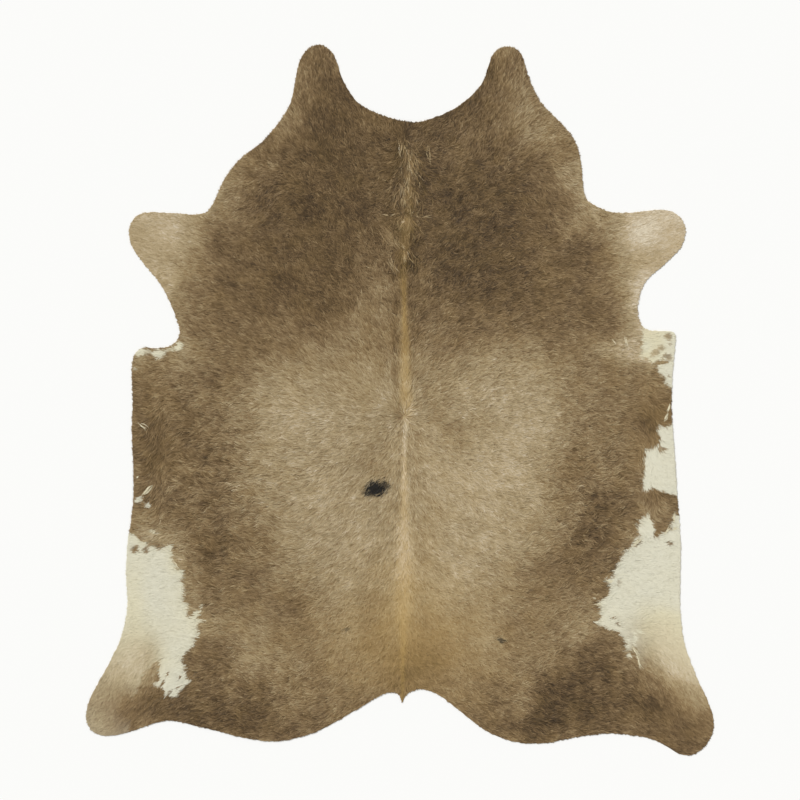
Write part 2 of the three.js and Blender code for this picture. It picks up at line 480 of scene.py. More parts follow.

# Single locks: pale licks in the mane and at its knots, a row of dark short locks that paints the shadow
# of a knot, the tuft at the whorl, and cream strokes
WISPS = (
    Wisp(36, 818, -94, 46, 4, 5, 0.60),
    Wisp(36, 794, -94, 56, 3, 1.5, 0.95),
    Wisp(31, 742, -94, 56, 3, 1.5, 0.90),
    Wisp(4, 700, -84, 50, 5, 6, 0.65),
    Wisp(12, 668, -96, 50, 6, 6, 0.65),
    Wisp(48, 668, -86, 50, 5, 8, 0.55),
    Wisp(92, 826, -82, 60, 3, 3, 0.65),
    Wisp(-10, 607, 200, 28, 3, 1.0, 0.75),
    Wisp(-34, 599, 166, 26, 3, 1.0, 0.95),
    Wisp(48, 610, -50, 26, 3, 1.5, 0.60),
    Wisp(66, 592, 10, 40, 3, 1.2, 0.62),
    # Dark short locks lying over the knot at 606 mm: a painted shadow of the knot
    Wisp(28, 612, -84, 16, 6, 4, -0.30),
    Wisp(22, 598, -118, 64, 7, 4, 0.50),
    Wisp(26, 598, -92, 60, 6, 4, 0.46),
    Wisp(32, 598, -62, 60, 6, 4, 0.38),
    Wisp(15, 590, -116, 24, 3, 1.5, 1.00),
    Wisp(-60, 562, -48, 70, 18, 20, 0.52),
    Wisp(-31, 530, -44, 62, 7, 5, 0.72),
    Wisp(9, 513, -72, 24, 4, 2.5, 1.00),
    Wisp(-36, 468, -60, 60, 9, 9, 0.58),
    Wisp(16, -72, -78, 40, 11, 5, 1.10, 0.15),
    Wisp(-741, -513, -62, 56, 3, 1.2, 1.0, 0.8),
    Wisp(-851, -74, -33, 38, 5, 1.5, 1.0, 1.0),
    Wisp(-861, -257, 38, 18, 4, 1.5, 1.0, 1.0),
    Wisp(-837, -307, 44, 42, 14, 4, 1.0, 1.0),
    Wisp(858, -66, 62, 26, 8, 3, 1.0, 1.0),
    Wisp(868, -38, 68, 28, 6, 3, 1.0, 1.0),
    Wisp(733, 202, -80, 30, 10, 5, 1.0, 0.55),
    Wisp(690, 196, -50, 22, 4, 1.5, 1.0, 0.5),
    Wisp(858, -437, 50, 38, 6, 2, 1.0, 1.0),
    Wisp(885, -425, 34, 20, 5, 2, 1.0, 1.0),
    Wisp(889, -400, 86, 32, 10, 3, 1.0, 1.0),
    Wisp(754, -474, 39, 42, 9, 2.2, 1.0, 1.0),
    Wisp(690, -592, 170, 28, 10, 4, 1.0, 1.0),
    Wisp(658, -668, 175, 28, 5, 2.5, 1.0, 1.0),
    Wisp(642, -646, 165, 22, 3, 2, 1.0, 0.8),
    Wisp(754, -798, -62, 46, 4, 1.0, 1.0, 1.0),
    Wisp(768, -828, -68, 48, 4, 1.0, 1.0, 1.0),
)

# How the coat leans on each quarter of the hide
LEANS = (
    Lean(-1, 1, 1.00, 420, 0.5),
    Lean(1, 1, 0.42, 270, 0.3),
    Lean(-1, -1, 0.85, 300, 0.0),
    Lean(1, -1, 0.50, 430, 0.0),
)

# How the hair lies where it doesn't simply part at the spine and the whorl
COMBED = (
    Combed("beside the mane", 70, 700, 60, 130, -30),
    Combed("mane", 0, 690, 34, 170, -92),
    Combed("cowlick", 42, 606, 40, 14, -5),
    Combed("side of the neck", 250, 880, 120, 100, 72),
    Combed("neck lobe", 300, 1090, 120, 170, 84),
    Combed("shoulder", 480, 640, 150, 120, -35),
    Combed("foreleg", 840, 560, 170, 120, 12),
    Combed("belly fold", 790, -200, 45, 220, -75),
    Combed("buttock", 430, -980, 200, 110, -10),
    Combed("flank fold", 460, -620, 100, 330, 12),
    Combed("hind leg", 900, -930, 190, 190, -55),
)

# Curl of the coat: degrees by which neighbouring tufts swing to either side
BASE_CURL = 17.0
CURL = (
    Patch("left flank", -610, -430, 300, 320, 26),
    Patch("right flank", 640, -430, 300, 320, 26),
    Patch("left buttock", -400, -960, 260, 160, 14),
    Patch("right buttock", 460, -960, 280, 170, 14),
    Patch("left belly", -720, 0, 160, 260, 14),
    Patch("shoulders", 0, 600, 560, 330, 20, 1.5),
    Patch("whorl", 20, -60, 90, 60, 14),
    Patch("left shank", -950, -980, 150, 150, -8),
    Patch("right shank", 950, -1010, 150, 150, -8),
)

# Fuzz of the coat: degrees by which single locks stray from their tuft
BASE_FUZZ = 10.0
FUZZ = (
    Patch("shoulders", 0, 600, 580, 340, 22, 1.5),
    Patch("back", 120, -160, 330, 300, 12),
    Patch("right flank", 620, -400, 160, 260, 7),
    Patch("rump", 20, -800, 380, 220, 21),
)

# How much more or less than elsewhere neighbouring locks differ in shade
LIVELY = (
    Patch("left flank", -600, -330, 190, 330, 0.40, 1.5),
    Patch("right flank", 620, -330, 120, 300, 0.35, 1.5),
    Patch("shoulders", 45, 610, 585, 385, 0.15, 2.0),
    Patch("left buttock", -500, -980, 260, 110, 0.25),
    Patch("right buttock", 560, -960, 230, 130, 0.25),
    Patch("rump", 30, -760, 330, 190, -0.20),
    Patch("back", 200, -160, 240, 300, -0.08),
    Patch("left foreleg", -820, 520, 130, 170, -0.45),
    Patch("right foreleg", 860, 520, 150, 190, -0.50),
    Patch("left shank", -950, -960, 130, 150, -0.40),
    Patch("right shank", 960, -960, 130, 150, -0.40),
)

# Half the soft rim of a dash and how far it frays, as shares of its size
DASH_RIM = 0.25
DASH_FRAY = 0.35

# Depth of the lying coat and length of its hair, in mm
BASE_DEPTH = 1.9
DEPTH = (
    Patch("left flank", -610, -430, 330, 330, 0.9),
    Patch("right flank", 640, -430, 330, 330, 0.9),
    Patch("whorl", 13, -55, 60, 60, 0.8),
    Patch("mane", 15, 640, 42, 260, 1.5),
    Patch("left foreleg", -820, 520, 170, 170, -1.0),
    Patch("right foreleg", 860, 520, 170, 170, -1.0),
    Patch("left hind leg", -960, -1020, 190, 190, -1.0),
    Patch("right hind leg", 960, -1060, 190, 190, -1.0),
    Patch("left neck lobe", -266, 1100, 150, 150, -0.8),
    Patch("right neck lobe", 349, 1090, 150, 150, -0.8),
)
SHORTEST_DEPTH = 0.7
BASE_LENGTH = 20.0
LENGTH = (
    Patch("left flank", -610, -430, 300, 320, 11),
    Patch("right flank", 640, -430, 300, 320, 10),
    Patch("left foreleg", -820, 520, 170, 170, -4),
    Patch("right foreleg", 860, 520, 170, 170, -4),
    Patch("left hind leg", -960, -1000, 170, 190, -4),
    Patch("right hind leg", 960, -1030, 170, 190, -4),
    Patch("left neck lobe", -266, 1100, 150, 150, -4),
    Patch("right neck lobe", 349, 1090, 150, 150, -4),
)


def linear(code: str) -> tuple[float, float, float, float]:
    """Turns an sRGB hex colour into the linear colour that a shader takes.

    Args:
        code: The colour, as "#rrggbb".

    Returns:
        Red, green, blue and alpha, linear.
    """
    parts = [int(code[place:place + 2], 16) / 255 for place in (1, 3, 5)]
    red, green, blue = (
        part / 12.92 if part <= 0.04045 else ((part + 0.055) / 1.055) ** 2.4 for part in parts
    )
    return red, green, blue, 1.0


def add_node(tree: bpy.types.NodeTree, kind: str, settings: dict | None = None,
             inputs: dict | None = None) -> bpy.types.Node:
    """Adds a shader node with its settings, and sets or links its sockets.

    Args:
        tree: The node tree to add to.
        kind: The node's type.
        settings: The node's own properties.
        inputs: A value, or another node's output, for each named or numbered socket.

    Returns:
        The new node.
    """
    node = tree.nodes.new(kind)
    for name, value in (settings or {}).items():
        setattr(node, name, value)
    for name, value in (inputs or {}).items():
        if isinstance(value, bpy.types.NodeSocket):
            tree.links.new(value, node.inputs[name])
        else:
            node.inputs[name].default_value = value
    return node


def smooth_step(low: float, high: float, value: Array) -> Array:
    """Rises softly from 0 at low to 1 at high: 3t^2 - 2t^3 of the share of the way between them."""
    share = np.clip((value - low) / (high - low), 0, 1)
    return share * share * (3 - 2 * share)


def soft_oval(dx: Array, dy: Array, across: float, along: float, firm: float) -> Array:
    """A soft oval's weight: exp(-((dx / across)^2 + (dy / along)^2)^firm), with its size in mm."""
    return np.exp(-((dx / (across * MM)) ** 2 + (dy / (along * MM)) ** 2) ** firm)


def add_patches(rows: tuple[Patch, ...], x: Array, y: Array) -> Array:
    """Adds up soft patches: each gives its amount times its soft oval's weight.

    Args:
        rows: The patches, in mm.
        x: Places across the hide, in metres.
        y: Places along the hide, in metres.

    Returns:
        The sum of all patches at each place.
    """
    total = np.zeros_like(x)
    for row in rows:
        weight = soft_oval(x - row.x * MM, y - row.y * MM, row.across, row.along, row.firm)
        total += row.amount * weight
    return total


def own_place(row: Dash, x: Array, y: Array) -> tuple[Array, Array]:
    """Places in a dash's own coordinates: turned by its heading and divided by its half sizes.

    Args:
        row: The dash, in mm.
        x: Places across the hide, in metres.
        y: Places along the hide, in metres.

    Returns:
        How far along the dash and how far across it, each 1 at its end or side.
    """
    turn = math.radians(row.heading)
    dx, dy = x - row.x * MM, y - row.y * MM
    along = (dx * math.cos(turn) + dy * math.sin(turn)) / (row.half_length * MM)
    across = (dy * math.cos(turn) - dx * math.sin(turn)) / (row.half_width * MM)
    return along, across


def add_dashes(rows: tuple[Dash, ...], x: Array, y: Array, rough: Array) -> Array:
    """The strongest of several short licks at each place.

    A dash fades out where the length of the place in its own coordinates passes 1, and rough moves
    that line.

    Args:
        rows: The dashes, in mm.
        x: Places across the hide, in metres.
        y: Places along the hide, in metres.
        rough: Noise about zero that frays the outlines.

    Returns:
        Amounts from 0 to 1.
    """
    strongest = np.zeros_like(x)
    for row in rows:
        reach = np.hypot(*own_place(row, x, y)) + DASH_FRAY * rough
        inside = 1 - smooth_step(1 - DASH_RIM, 1 + DASH_RIM, reach)
        strongest = np.maximum(strongest, row.amount * inside)
    return strongest


def add_tints(rows: tuple[Dash, ...], x: Array, y: Array) -> Array:
    """Adds up soft licks: each gives its amount times exp(-r^2), with r its own place's length.

    Args:
        rows: The licks, in mm.
        x: Places across the hide, in metres.
        y: Places along the hide, in metres.

    Returns:
        The sum of all licks at each place.
    """
    total = np.zeros_like(x)
    for row in rows:
        along, across = own_place(row, x, y)
        total += row.amount * np.exp(-along ** 2 - across ** 2)
    return total


def signed_inset(outline: Array, x: Array, y: Array) -> tuple[Array, Array, Array]:
    """Distance from each place to a closed outline, positive inside it.

    For every stretch of the outline the nearest point is the foot of the perpendicular, held between
    the stretch's ends. A place is inside when an odd number of stretches crosses the line to its right.

    Args:
        outline: The outline's corners, in metres, one row each.
        x: Places across the hide.
        y: Places along the hide.

    Returns:
        The inset, and the x and y of the unit vector towards the nearest point of the outline.
    """
    start, end = outline, np.roll(outline, -1, axis=0)
    run = end - start
    length_squared = (run ** 2).sum(1) + 1e-12
    block = 4000
    inset, towards_x, towards_y = np.empty_like(x), np.empty_like(x), np.empty_like(x)
    for first in range(0, len(x), block):
        part = slice(first, first + block)
        px, py = x[part, None], y[part, None]
        share = ((px - start[:, 0]) * run[:, 0] + (py - start[:, 1]) * run[:, 1]) / length_squared
        share = np.clip(share, 0, 1)
        dx = start[:, 0] + share * run[:, 0] - px
        dy = start[:, 1] + share * run[:, 1] - py
        squared = dx ** 2 + dy ** 2
        nearest = squared.argmin(1)
        rows = np.arange(len(nearest))
        distance = np.sqrt(squared[rows, nearest]) + 1e-9
        straddles = (start[:, 1] > py) != (end[:, 1] > py)
        slope = run[:, 0] / np.where(np.abs(run[:, 1]) < 1e-12, 1e-12, run[:, 1])
        crossings = (straddles & (px < start[:, 0] + (py - start[:, 1]) * slope)).sum(1)
        inset[part] = np.where(crossings % 2 == 1, distance, -distance)
        towards_x[part] = dx[rows, nearest] / distance
        towards_y[part] = dy[rows, nearest] / distance
    return inset, towards_x, towards_y


@dataclass
class Mottle:
    """Smooth noise over the plan of the hide, between -1 and 1.

    Random values stand on a square lattice that is turned a little, and the noise is blended between
    the four around a place with 3t^2 - 2t^3. Each seed also moves the lattice, so that no two noises
    turn about the same place.
    """

    seed: int
    size_mm: float
    lattice: int = 211
    turn: float = 0.62
    moved: tuple[float, float] = (7.3, 3.1)

    def at(self, x: Array, y: Array) -> Array:
        """The noise at each place.

        Args:
            x: Places across the hide, in metres.
            y: Places along the hide, in metres.

        Returns:
            Values between -1 and 1.
        """
        values = np.random.default_rng(self.seed).uniform(-1, 1, (self.lattice, self.lattice))
        step = self.size_mm * MM
        along = (x * math.cos(self.turn) + y * math.sin(self.turn)) / step + self.seed * self.moved[0]
        across = (y * math.cos(self.turn) - x * math.sin(self.turn)) / step + self.seed * self.moved[1]
        column, row = np.floor(along).astype(int), np.floor(across).astype(int)
        right, up = along - column, across - row
        right, up = right * right * (3 - 2 * right), up * up * (3 - 2 * up)
        here, there = column % self.lattice, (column + 1) % self.lattice
        low, high = row % self.lattice, (row + 1) % self.lattice
        lower = values[low, here] * (1 - right) + values[low, there] * right
        upper = values[high, here] * (1 - right) + values[high, there] * right
        return lower * (1 - up) + upper * up


@dataclass
class CutEdge:
    """The rug's trimmed outline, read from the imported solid."""

    between: int = 2
    rim_height_mm: float = 0.05
    least_reach_mm: float = 100.0
    corners: Array = field(init=False)
    points: Array = field(init=False)

    def __post_init__(self) -> None:
        """Reads the solid's lowest rim in order round the middle, and rounds it."""
        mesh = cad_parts[NODE].data
        places = np.empty(len(mesh.vertices) * 3, np.float32)
        mesh.vertices.foreach_get("co", places)
        places = places.reshape(-1, 3).astype(float)
        low = places[:, 2] < places[:, 2].min() + self.rim_height_mm * MM
        far = np.hypot(places[:, 0], places[:, 1]) > self.least_reach_mm * MM
        rim = np.unique(np.round(places[low & far][:, :2], 6), axis=0)
        self.corners = rim[np.argsort(np.arctan2(rim[:, 1], rim[:, 0]))]
        self.points = self.rounded()

    def rounded(self) -> Array:
        """A closed Catmull-Rom curve through the corners, with a few points between each two.

        Between corners b and c, with a before and d after, a point at share t is
        (2b + (c-a)t + (2a-5b+4c-d)t^2 + (3b-a-3c+d)t^3) / 2.

        Returns:
            The curve's points in metres, one row each.
        """
        b = self.corners[:, None]
        a, c, d = (np.roll(b, shift, axis=0) for shift in (1, -1, -2))
        t = (np.arange(self.between) / self.between)[None, :, None]
        curve = 2 * b + (c - a) * t + (2 * a - 5 * b + 4 * c - d) * t ** 2
        curve = (curve + (3 * b - a - 3 * c + d) * t ** 3) / 2
        return curve.reshape(-1, 2)


@dataclass
class CoatPlan:
    """What the coat is like at every place: its colour, depth and length, and the way it lies."""

    patch_fray: Mottle = field(default_factory=lambda: Mottle(11, 13))
    fine_fray: Mottle = field(default_factory=lambda: Mottle(12, 5))
    cloud: Mottle = field(default_factory=lambda: Mottle(13, 95))
    tuft: Mottle = field(default_factory=lambda: Mottle(14, 26))
    lock: Mottle = field(default_factory=lambda: Mottle(15, 8))
    swing: Mottle = field(default_factory=lambda: Mottle(16, 34))
    small_swing: Mottle = field(default_factory=lambda: Mottle(17, 14))
    wave: Mottle = field(default_factory=lambda: Mottle(18, 17))
    warmth: Mottle = field(default_factory=lambda: Mottle(19, 41))
    strand: Mottle = field(default_factory=lambda: Mottle(20, 4, 907))
    dapple: Mottle = field(default_factory=lambda: Mottle(21, 44))
    cloud_tone: float = 0.04
    dapple_tone: float = 0.065
    warmth_gold: float = 0.05
    least_gold: float = 0.02
    fray_mm: float = 4.5
    fine_fray_mm: float = 2.5
    cream_rim_mm: float = 2.0
    stripe_firm: float = 2.4
    stripe_ends_mm: tuple[float, float] = (880.0, 820.0)
    parting_mm: float = 30.0
    ridge_lean: float = 1.2
    ridge_mm: float = 60.0
    lean_firm: float = 6.0
    whorl_mm: float = 50.0
    whorl_opens: float = 0.6
    combed_firm: float = 1.5
    swing_shares: tuple[float, float] = (0.6, 0.9)
    least_curl: float = 4.0
    least_lively: float = 0.3
    cream_calm: float = 0.5
    streak_reach_mm: float = 7.0
    streak_steps: int = 7
    streak_sum: float = 3.0

    @staticmethod
    def station(name: str, y: Array) -> Array:
        """One column of the stripe's stations, running straight from one to the next, at each y."""
        stations = sorted(STRIPE, key=lambda row: row.y)
        return np.interp(y, [row.y * MM for row in stations], [getattr(row, name) for row in stations])

    def stripe_middle(self, y: Array) -> Array:
        """The stripe's middle at each y, in metres."""
        return self.station("x", y) * MM

    def stripe(self, x: Array, y: Array) -> tuple[Array, Array]:
        """How much the spine's stripe adds at each place.

        Its middle, half width and strength run straight from station to station. Across it the
        strength falls as exp(-(distance / half width)^firm), and it fades out at the neck.

        Args:
            x: Places across the hide, in metres.
            y: Places along the hide, in metres.

        Returns:
            What it adds to gold, and to tone.
        """
        distance = (x - self.stripe_middle(y)) / (self.station("half_width", y) * MM)
        end, start = self.stripe_ends_mm
        share = np.exp(-np.abs(distance) ** self.stripe_firm) * smooth_step(end * MM, start * MM, y)
        return share * self.station("gold", y), share * self.station("tone", y)

    def tone(self, x: Array, y: Array) -> Array:
        """Lightness of the coat: the base, soft patches, licks, the stripe and slow clouds."""
        clouds = self.cloud_tone * self.cloud.at(x, y) + self.dapple_tone * self.dapple.at(x, y)
        return BASE_TONE + add_patches(TONE, x, y) + add_tints(TINTS, x, y) + self.stripe(x, y)[1] + clouds

    def gold(self, x: Array, y: Array) -> Array:
        """Goldenness of the coat, from 0 to 1: soft patches, the stripe and warmer tufts."""
        warmth = self.warmth_gold * self.warmth.at(x, y) + self.least_gold
        return np.clip(add_patches(GOLD, x, y) + self.stripe(x, y)[0] + warmth, 0, 1)

    def cream(self, x: Array, y: Array) -> Array:
        """Whether the hair is cream: inside a frayed outline or a dash, and not in a brown dash.

        Args:
            x: Places across the hide, in metres.
            y: Places along the hide, in metres.

        Returns:
            Amounts from 0 to 1.
        """
        rough = self.fine_fray.at(x, y)
        fray = (self.fray_mm * self.patch_fray.at(x, y) + self.fine_fray_mm * rough) * MM
        rim = self.cream_rim_mm * MM
        amount = np.zeros_like(x)
        for outline in CREAM_OUTLINES:
            inset = signed_inset(np.array(outline) * MM, x, y)[0]
            amount = np.maximum(amount, smooth_step(-rim, rim, inset + fray))
        amount = amount * (1 - add_dashes(BROWN_DASHES, x, y, rough))
        amount = amount * (1 - np.clip(add_patches(CREAM_FADE, x, y), 0, 1))
        return np.maximum(amount, add_dashes(WHITE_DASHES, x, y, rough))

    def black(self, x: Array, y: Array) -> Array:
        """How black the hair is, in the few small dark marks."""
        return add_dashes(BLACK_MARKS, x, y, self.fine_fray.at(x, y))

    def depth(self, x: Array, y: Array) -> Array:
        """Depth of the lying coat over the leather, in metres."""
        return np.maximum(SHORTEST_DEPTH, BASE_DEPTH + add_patches(DEPTH, x, y)) * MM

    def length(self, x: Array, y: Array) -> Array:
        """Length of a lock, in metres."""
        return (BASE_LENGTH + add_patches(LENGTH, x, y)) * MM

    def curl(self, x: Array, y: Array) -> Array:
        """How far tufts may swing to either side, in radians."""
        return np.radians(np.maximum(self.least_curl, BASE_CURL + add_patches(CURL, x, y)))

    def fuzz(self, x: Array, y: Array) -> Array:
        """How far single locks may stray from their tuft, in radians."""
        return np.radians(BASE_FUZZ + add_patches(FUZZ, x, y))

    def swings(self, x: Array, y: Array) -> tuple[Array, Array]:
        """The turn of the tuft at each place and the bend of its locks, as shares of the curl."""
        large, small = self.swing_shares
        return large * self.swing.at(x, y) + small * self.small_swing.at(x, y), self.wave.at(x, y)

    def liveliness(self, x: Array, y: Array) -> Array:
        """How strongly neighbouring locks differ in shade."""
        lively = np.maximum(self.least_lively, 1 + add_patches(LIVELY, x, y))
        return lively * (1 - self.cream_calm * self.cream(x, y))

    def streaks(self, x: Array, y: Array, heading: Array) -> Array:
        """Lighter and darker streaks along the hair, about 1 at their strongest.

        Fine noise is summed over places on a short line along the hair's heading, which draws it
        out into streaks as long as the line, and divided by the sum that counts as 1.

        Args:
            x: Places across the hide, in metres.
            y: Places along the hide, in metres.
            heading: The way the hair lies there.

        Returns:
            Values about zero.
        """
        steps = np.linspace(-self.streak_reach_mm, self.streak_reach_mm, self.streak_steps) * MM
        total = np.zeros_like(x)
        for step in steps:
            total += self.strand.at(x + step * np.cos(heading), y + step * np.sin(heading))
        return total / self.streak_sum

    def heading(self, x: Array, y: Array) -> Array:
        """The way the hair lies at each place, as an angle from +X.

        It leaves the spine on both sides. Ahead of the whorl it leans towards the neck and behind it
        towards the tail, each quarter by its own tangent times tanh of the distance from the whorl,
        and this lean fades out on the flanks. The combed places then turn it, each by a soft weight.

        Args:
            x: Places across the hide, in metres.
            y: Places along the hide, in metres.

        Returns:
            Angles in radians.
        """
        out, rise = np.abs(x - SPINE_X * MM), y - WHORL_Y * MM
        side = np.where(x > SPINE_X * MM, 1.0, -1.0)
        outwards = np.tanh(out / (self.parting_mm * MM))
        on_ridge = self.ridge_lean * np.exp(-out / (self.ridge_mm * MM))
        away = np.tanh(rise / (self.whorl_mm * MM + self.whorl_opens * out))
        forwards = np.zeros_like(x)
        for lean in LEANS:
            fade_at = lean.fade_mm * MM + lean.spread * np.abs(rise)
            strength = lean.tangent / (1 + (out / fade_at) ** self.lean_firm) + on_ridge
            here = (side == lean.side) & (np.sign(rise) == lean.towards)
            forwards = np.where(here, strength * away, forwards)
        for row in COMBED:
            weight = soft_oval(out - row.out * MM, y - row.y * MM, row.across, row.along, self.combed_firm)
            turn = math.radians(row.heading)
            outwards = outwards * (1 - weight) + math.cos(turn) * weight
            forwards = forwards * (1 - weight) + math.sin(turn) * weight
        return np.arctan2(forwards, outwards * side)


def new_piece(name: str, points: Array, corners: Array, sizes: Array,
              materials: list[bpy.types.Material]) -> bpy.types.Object:
    """Makes an object at the origin from arrays.

    Args:
        name: The piece's name.
        points: Its vertices in metres, one row each.
        corners: The faces' vertex numbers, one face after another.
        sizes: The number of corners of each face.
        materials: Its materials.

    Returns:
        The new object, linked and smooth.
    """
    mesh = bpy.data.meshes.new(name)
    mesh.vertices.add(len(points))
    mesh.vertices.foreach_set("co", points.astype(np.float32).ravel())
    mesh.loops.add(len(corners))
    mesh.loops.foreach_set("vertex_index", corners.astype(np.int32))
    mesh.polygons.add(len(sizes))
    starts = np.concatenate([[0], np.cumsum(sizes)[:-1]])
    mesh.polygons.foreach_set("loop_start", starts.astype(np.int32))
    mesh.polygons.foreach_set("use_smooth", np.ones(len(sizes), bool))
    for material in materials:
        mesh.materials.append(material)
    mesh.update(calc_edges=True)
    piece = bpy.data.objects.new(name, mesh)
    bpy.context.scene.collection.objects.link(piece)
    return piece


def set_attribute(piece: bpy.types.Object, name: str, values: Array) -> None:
    """Stores three numbers on each vertex of a piece.

    Args:
        piece: The object.
        name: The attribute's name, which its material reads.
        values: One row of three numbers for each vertex.
    """
    attribute = piece.data.attributes.new(name, "FLOAT_VECTOR", "POINT")
    attribute.data.foreach_set("vector", values.astype(np.float32).ravel())


def set_bake_map(piece: bpy.types.Object, places: Array) -> None:
    """Stores where each face corner lies on the unfolded map of the piece.

    Args:
        piece: The object.
        places: One row of u and v for each corner of each face.
    """
    layer = piece.data.uv_layers.new(name=BAKE_MAP)
    layer.data.foreach_set("uv", places.astype(np.float32).ravel())


def new_material(name: str, values: dict) -> tuple[bpy.types.Material, bpy.types.Node]:
    """Starts a material.

    Args:
        name: What the real material is.
        values: A value for each of the shader's sockets, by name.

    Returns:
        The material and its shader.
    """
    material = bpy.data.materials.new(name)
    material.use_nodes = True
    shader = material.node_tree.nodes["Principled BSDF"]
    for socket, value in values.items():
        shader.inputs[socket].default_value = value
    return material, shader


@dataclass(frozen=True)
class CoatFinish:
    """Cattle hair: smooth tapering strands, so it is satin along the lock, dark at the root where
    little light gets in, and sun-bleached at the tip.

    A real hair is about 0.05 mm thick, far too fine to show from above the whole hide, so the
    strands that shade the locks are drawn 2.6 mm wide.
    """

    name: str = "cattle_hair_taupe_and_cream"
    browns: tuple[tuple[float, str], ...] = (
        (-0.4, "#302517"), (0.0, "#56442c"), (0.25, "#715b3d"), (0.5, "#8b7452"), (0.75, "#a08d69"),
        (1.0, "#b6a380"), (1.2, "#c5b598"), (1.6, "#e6dcc5"),
    )
    golden: str = "#bc9b5b"
    creams: tuple[tuple[float, str], ...] = (
        (-0.2, "#d0cebb"), (0.3, "#dbd8c4"), (0.8, "#dcd5b6"), (1.3, "#d6caa8"),
    )
    cream_root: str = "#c9c1a4"
    black: str = "#1d1a15"
    roughness: float = 0.62
    ior: float = 1.55
    gloss: float = 0.18
    strand_mm: float = 2.6
    strand_shade: float = 0.18
    root_shade: float = 0.17
    skin_name: str = "cattle_hair_roots_in_skin"
    skin_roughness: float = 0.9
    # How much darker the skin between the hairs is drawn: painted shade from the hair lying over it
    skin_painted_shade: float = -0.3
    cream_shades: tuple[float, float] = (-1.6, 0.4)

    def colour(self, tree: bpy.types.NodeTree, base: float) -> bpy.types.NodeSocket:
        """Mixes the coat's colour from the pigment and lock attributes.

        Tone runs through the browns, and is shifted by the lock's own lightness and by the way from
        root to tip. Gold, cream and black are laid over it by their amounts.

        Args:
            tree: The material's node tree.
            base: What is added to the tone everywhere: none on the hair, and the painted shade on the skin
                between the hairs.

        Returns:
            The colour's socket.
        """
        pigment = add_node(tree, "ShaderNodeAttribute", {"attribute_name": "pigment"})
        lock = add_node(tree, "ShaderNodeAttribute", {"attribute_name": "lock"})
        amounts = add_node(tree, "ShaderNodeSeparateXYZ", None, {0: pigment.outputs["Vector"]})
        habit = add_node(tree, "ShaderNodeSeparateXYZ", None, {0: lock.outputs["Vector"]})
        place = add_node(tree, "ShaderNodeTexCoord")
        strands = add_node(tree, "ShaderNodeTexNoise", None, {
            "Vector": place.outputs["Object"], "Scale": 1 / (self.strand_mm * MM), "Detail": 2.0})
        strand = add_node(tree, "ShaderNodeMath", {"operation": "MULTIPLY_ADD"}, {
            0: strands.outputs[0], 1: self.strand_shade, 2: base - 0.5 * self.strand_shade})
        tip = add_node(tree, "ShaderNodeMath", {"operation": "MULTIPLY"}, {
            0: habit.outputs["X"], 1: self.root_shade})
        own = add_node(tree, "ShaderNodeMath", None, {0: habit.outputs["Y"], 1: strand.outputs[0]})
        shift = add_node(tree, "ShaderNodeMath", None, {0: own.outputs[0], 1: tip.outputs[0]})
        tone = add_node(tree, "ShaderNodeMath", None, {0: amounts.outputs["X"], 1: shift.outputs[0]})
        brown = self.ramped(tree, tone.outputs[0], self.browns)
        gilt = self.mixed(tree, amounts.outputs["Y"], brown, linear(self.golden))
        pale = self.ramped(tree, amounts.outputs["X"], self.creams)
        darkest, palest = self.cream_shades
        shaded = add_node(tree, "ShaderNodeMapRange", None, {
            "Value": shift.outputs[0], "From Min": darkest, "From Max": palest})
        white = self.mixed(tree, shaded.outputs[0], linear(self.cream_root), pale)
        pied = self.mixed(tree, amounts.outputs["Z"], gilt, white)
        return self.mixed(tree, habit.outputs["Z"], pied, linear(self.black))

    @staticmethod
    def ramped(tree: bpy.types.NodeTree, value: bpy.types.NodeSocket,
               colours: tuple[tuple[float, str], ...]) -> bpy.types.NodeSocket:
        """Runs a value through colours that stand at rising values.

        Args:
            tree: The material's node tree.
            value: The value's socket.
            colours: Each colour's value and sRGB code.

        Returns:
            The colour's socket.
        """
        lowest, highest = colours[0][0], colours[-1][0]
        share = add_node(tree, "ShaderNodeMapRange", None, {
            "Value": value, "From Min": lowest, "From Max": highest})
        ramp = add_node(tree, "ShaderNodeValToRGB", None, {0: share.outputs[0]})
        stops = ramp.color_ramp.elements
        for number, (at, code) in enumerate(colours):
            position = (at - lowest) / (highest - lowest)
            is_end = number in (0, len(colours) - 1)
            stop = stops[0 if number == 0 else -1] if is_end else stops.new(position)
            stop.position = position
            stop.color = linear(code)
        return ramp.outputs[0]

    @staticmethod
    def mixed(tree: bpy.types.NodeTree, amount: object, first: object,
              second: object) -> bpy.types.NodeSocket:
        """Mixes two colours, each a value or a socket, and gives the result's socket."""
        node = add_node(tree, "ShaderNodeMix", {"data_type": "RGBA"},
                        {0: amount, 6: first, 7: second})
        return node.outputs[2]

    def material(self) -> bpy.types.Material:
        """The finish of the hair itself.

        Returns:
            The material.
        """
        material, shader = new_material(self.name, {
            "Roughness": self.roughness, "IOR": self.ior, "Specular IOR Level": self.gloss})
        tree = material.node_tree
        tree.links.new(self.colour(tree, 0.0), shader.inputs["Base Color"])
        return material

    def undercoat(self) -> bpy.types.Material:
        """The finish of the skin between the hairs: the same pigment, shaded by what lies over it.

        Returns:
            The material.
        """
        material, shader = new_material(self.skin_name, {"Roughness": self.skin_roughness})
        tree = material.node_tree
        tree.links.new(self.colour(tree, self.skin_painted_shade), shader.inputs["Base Color"])
        return material


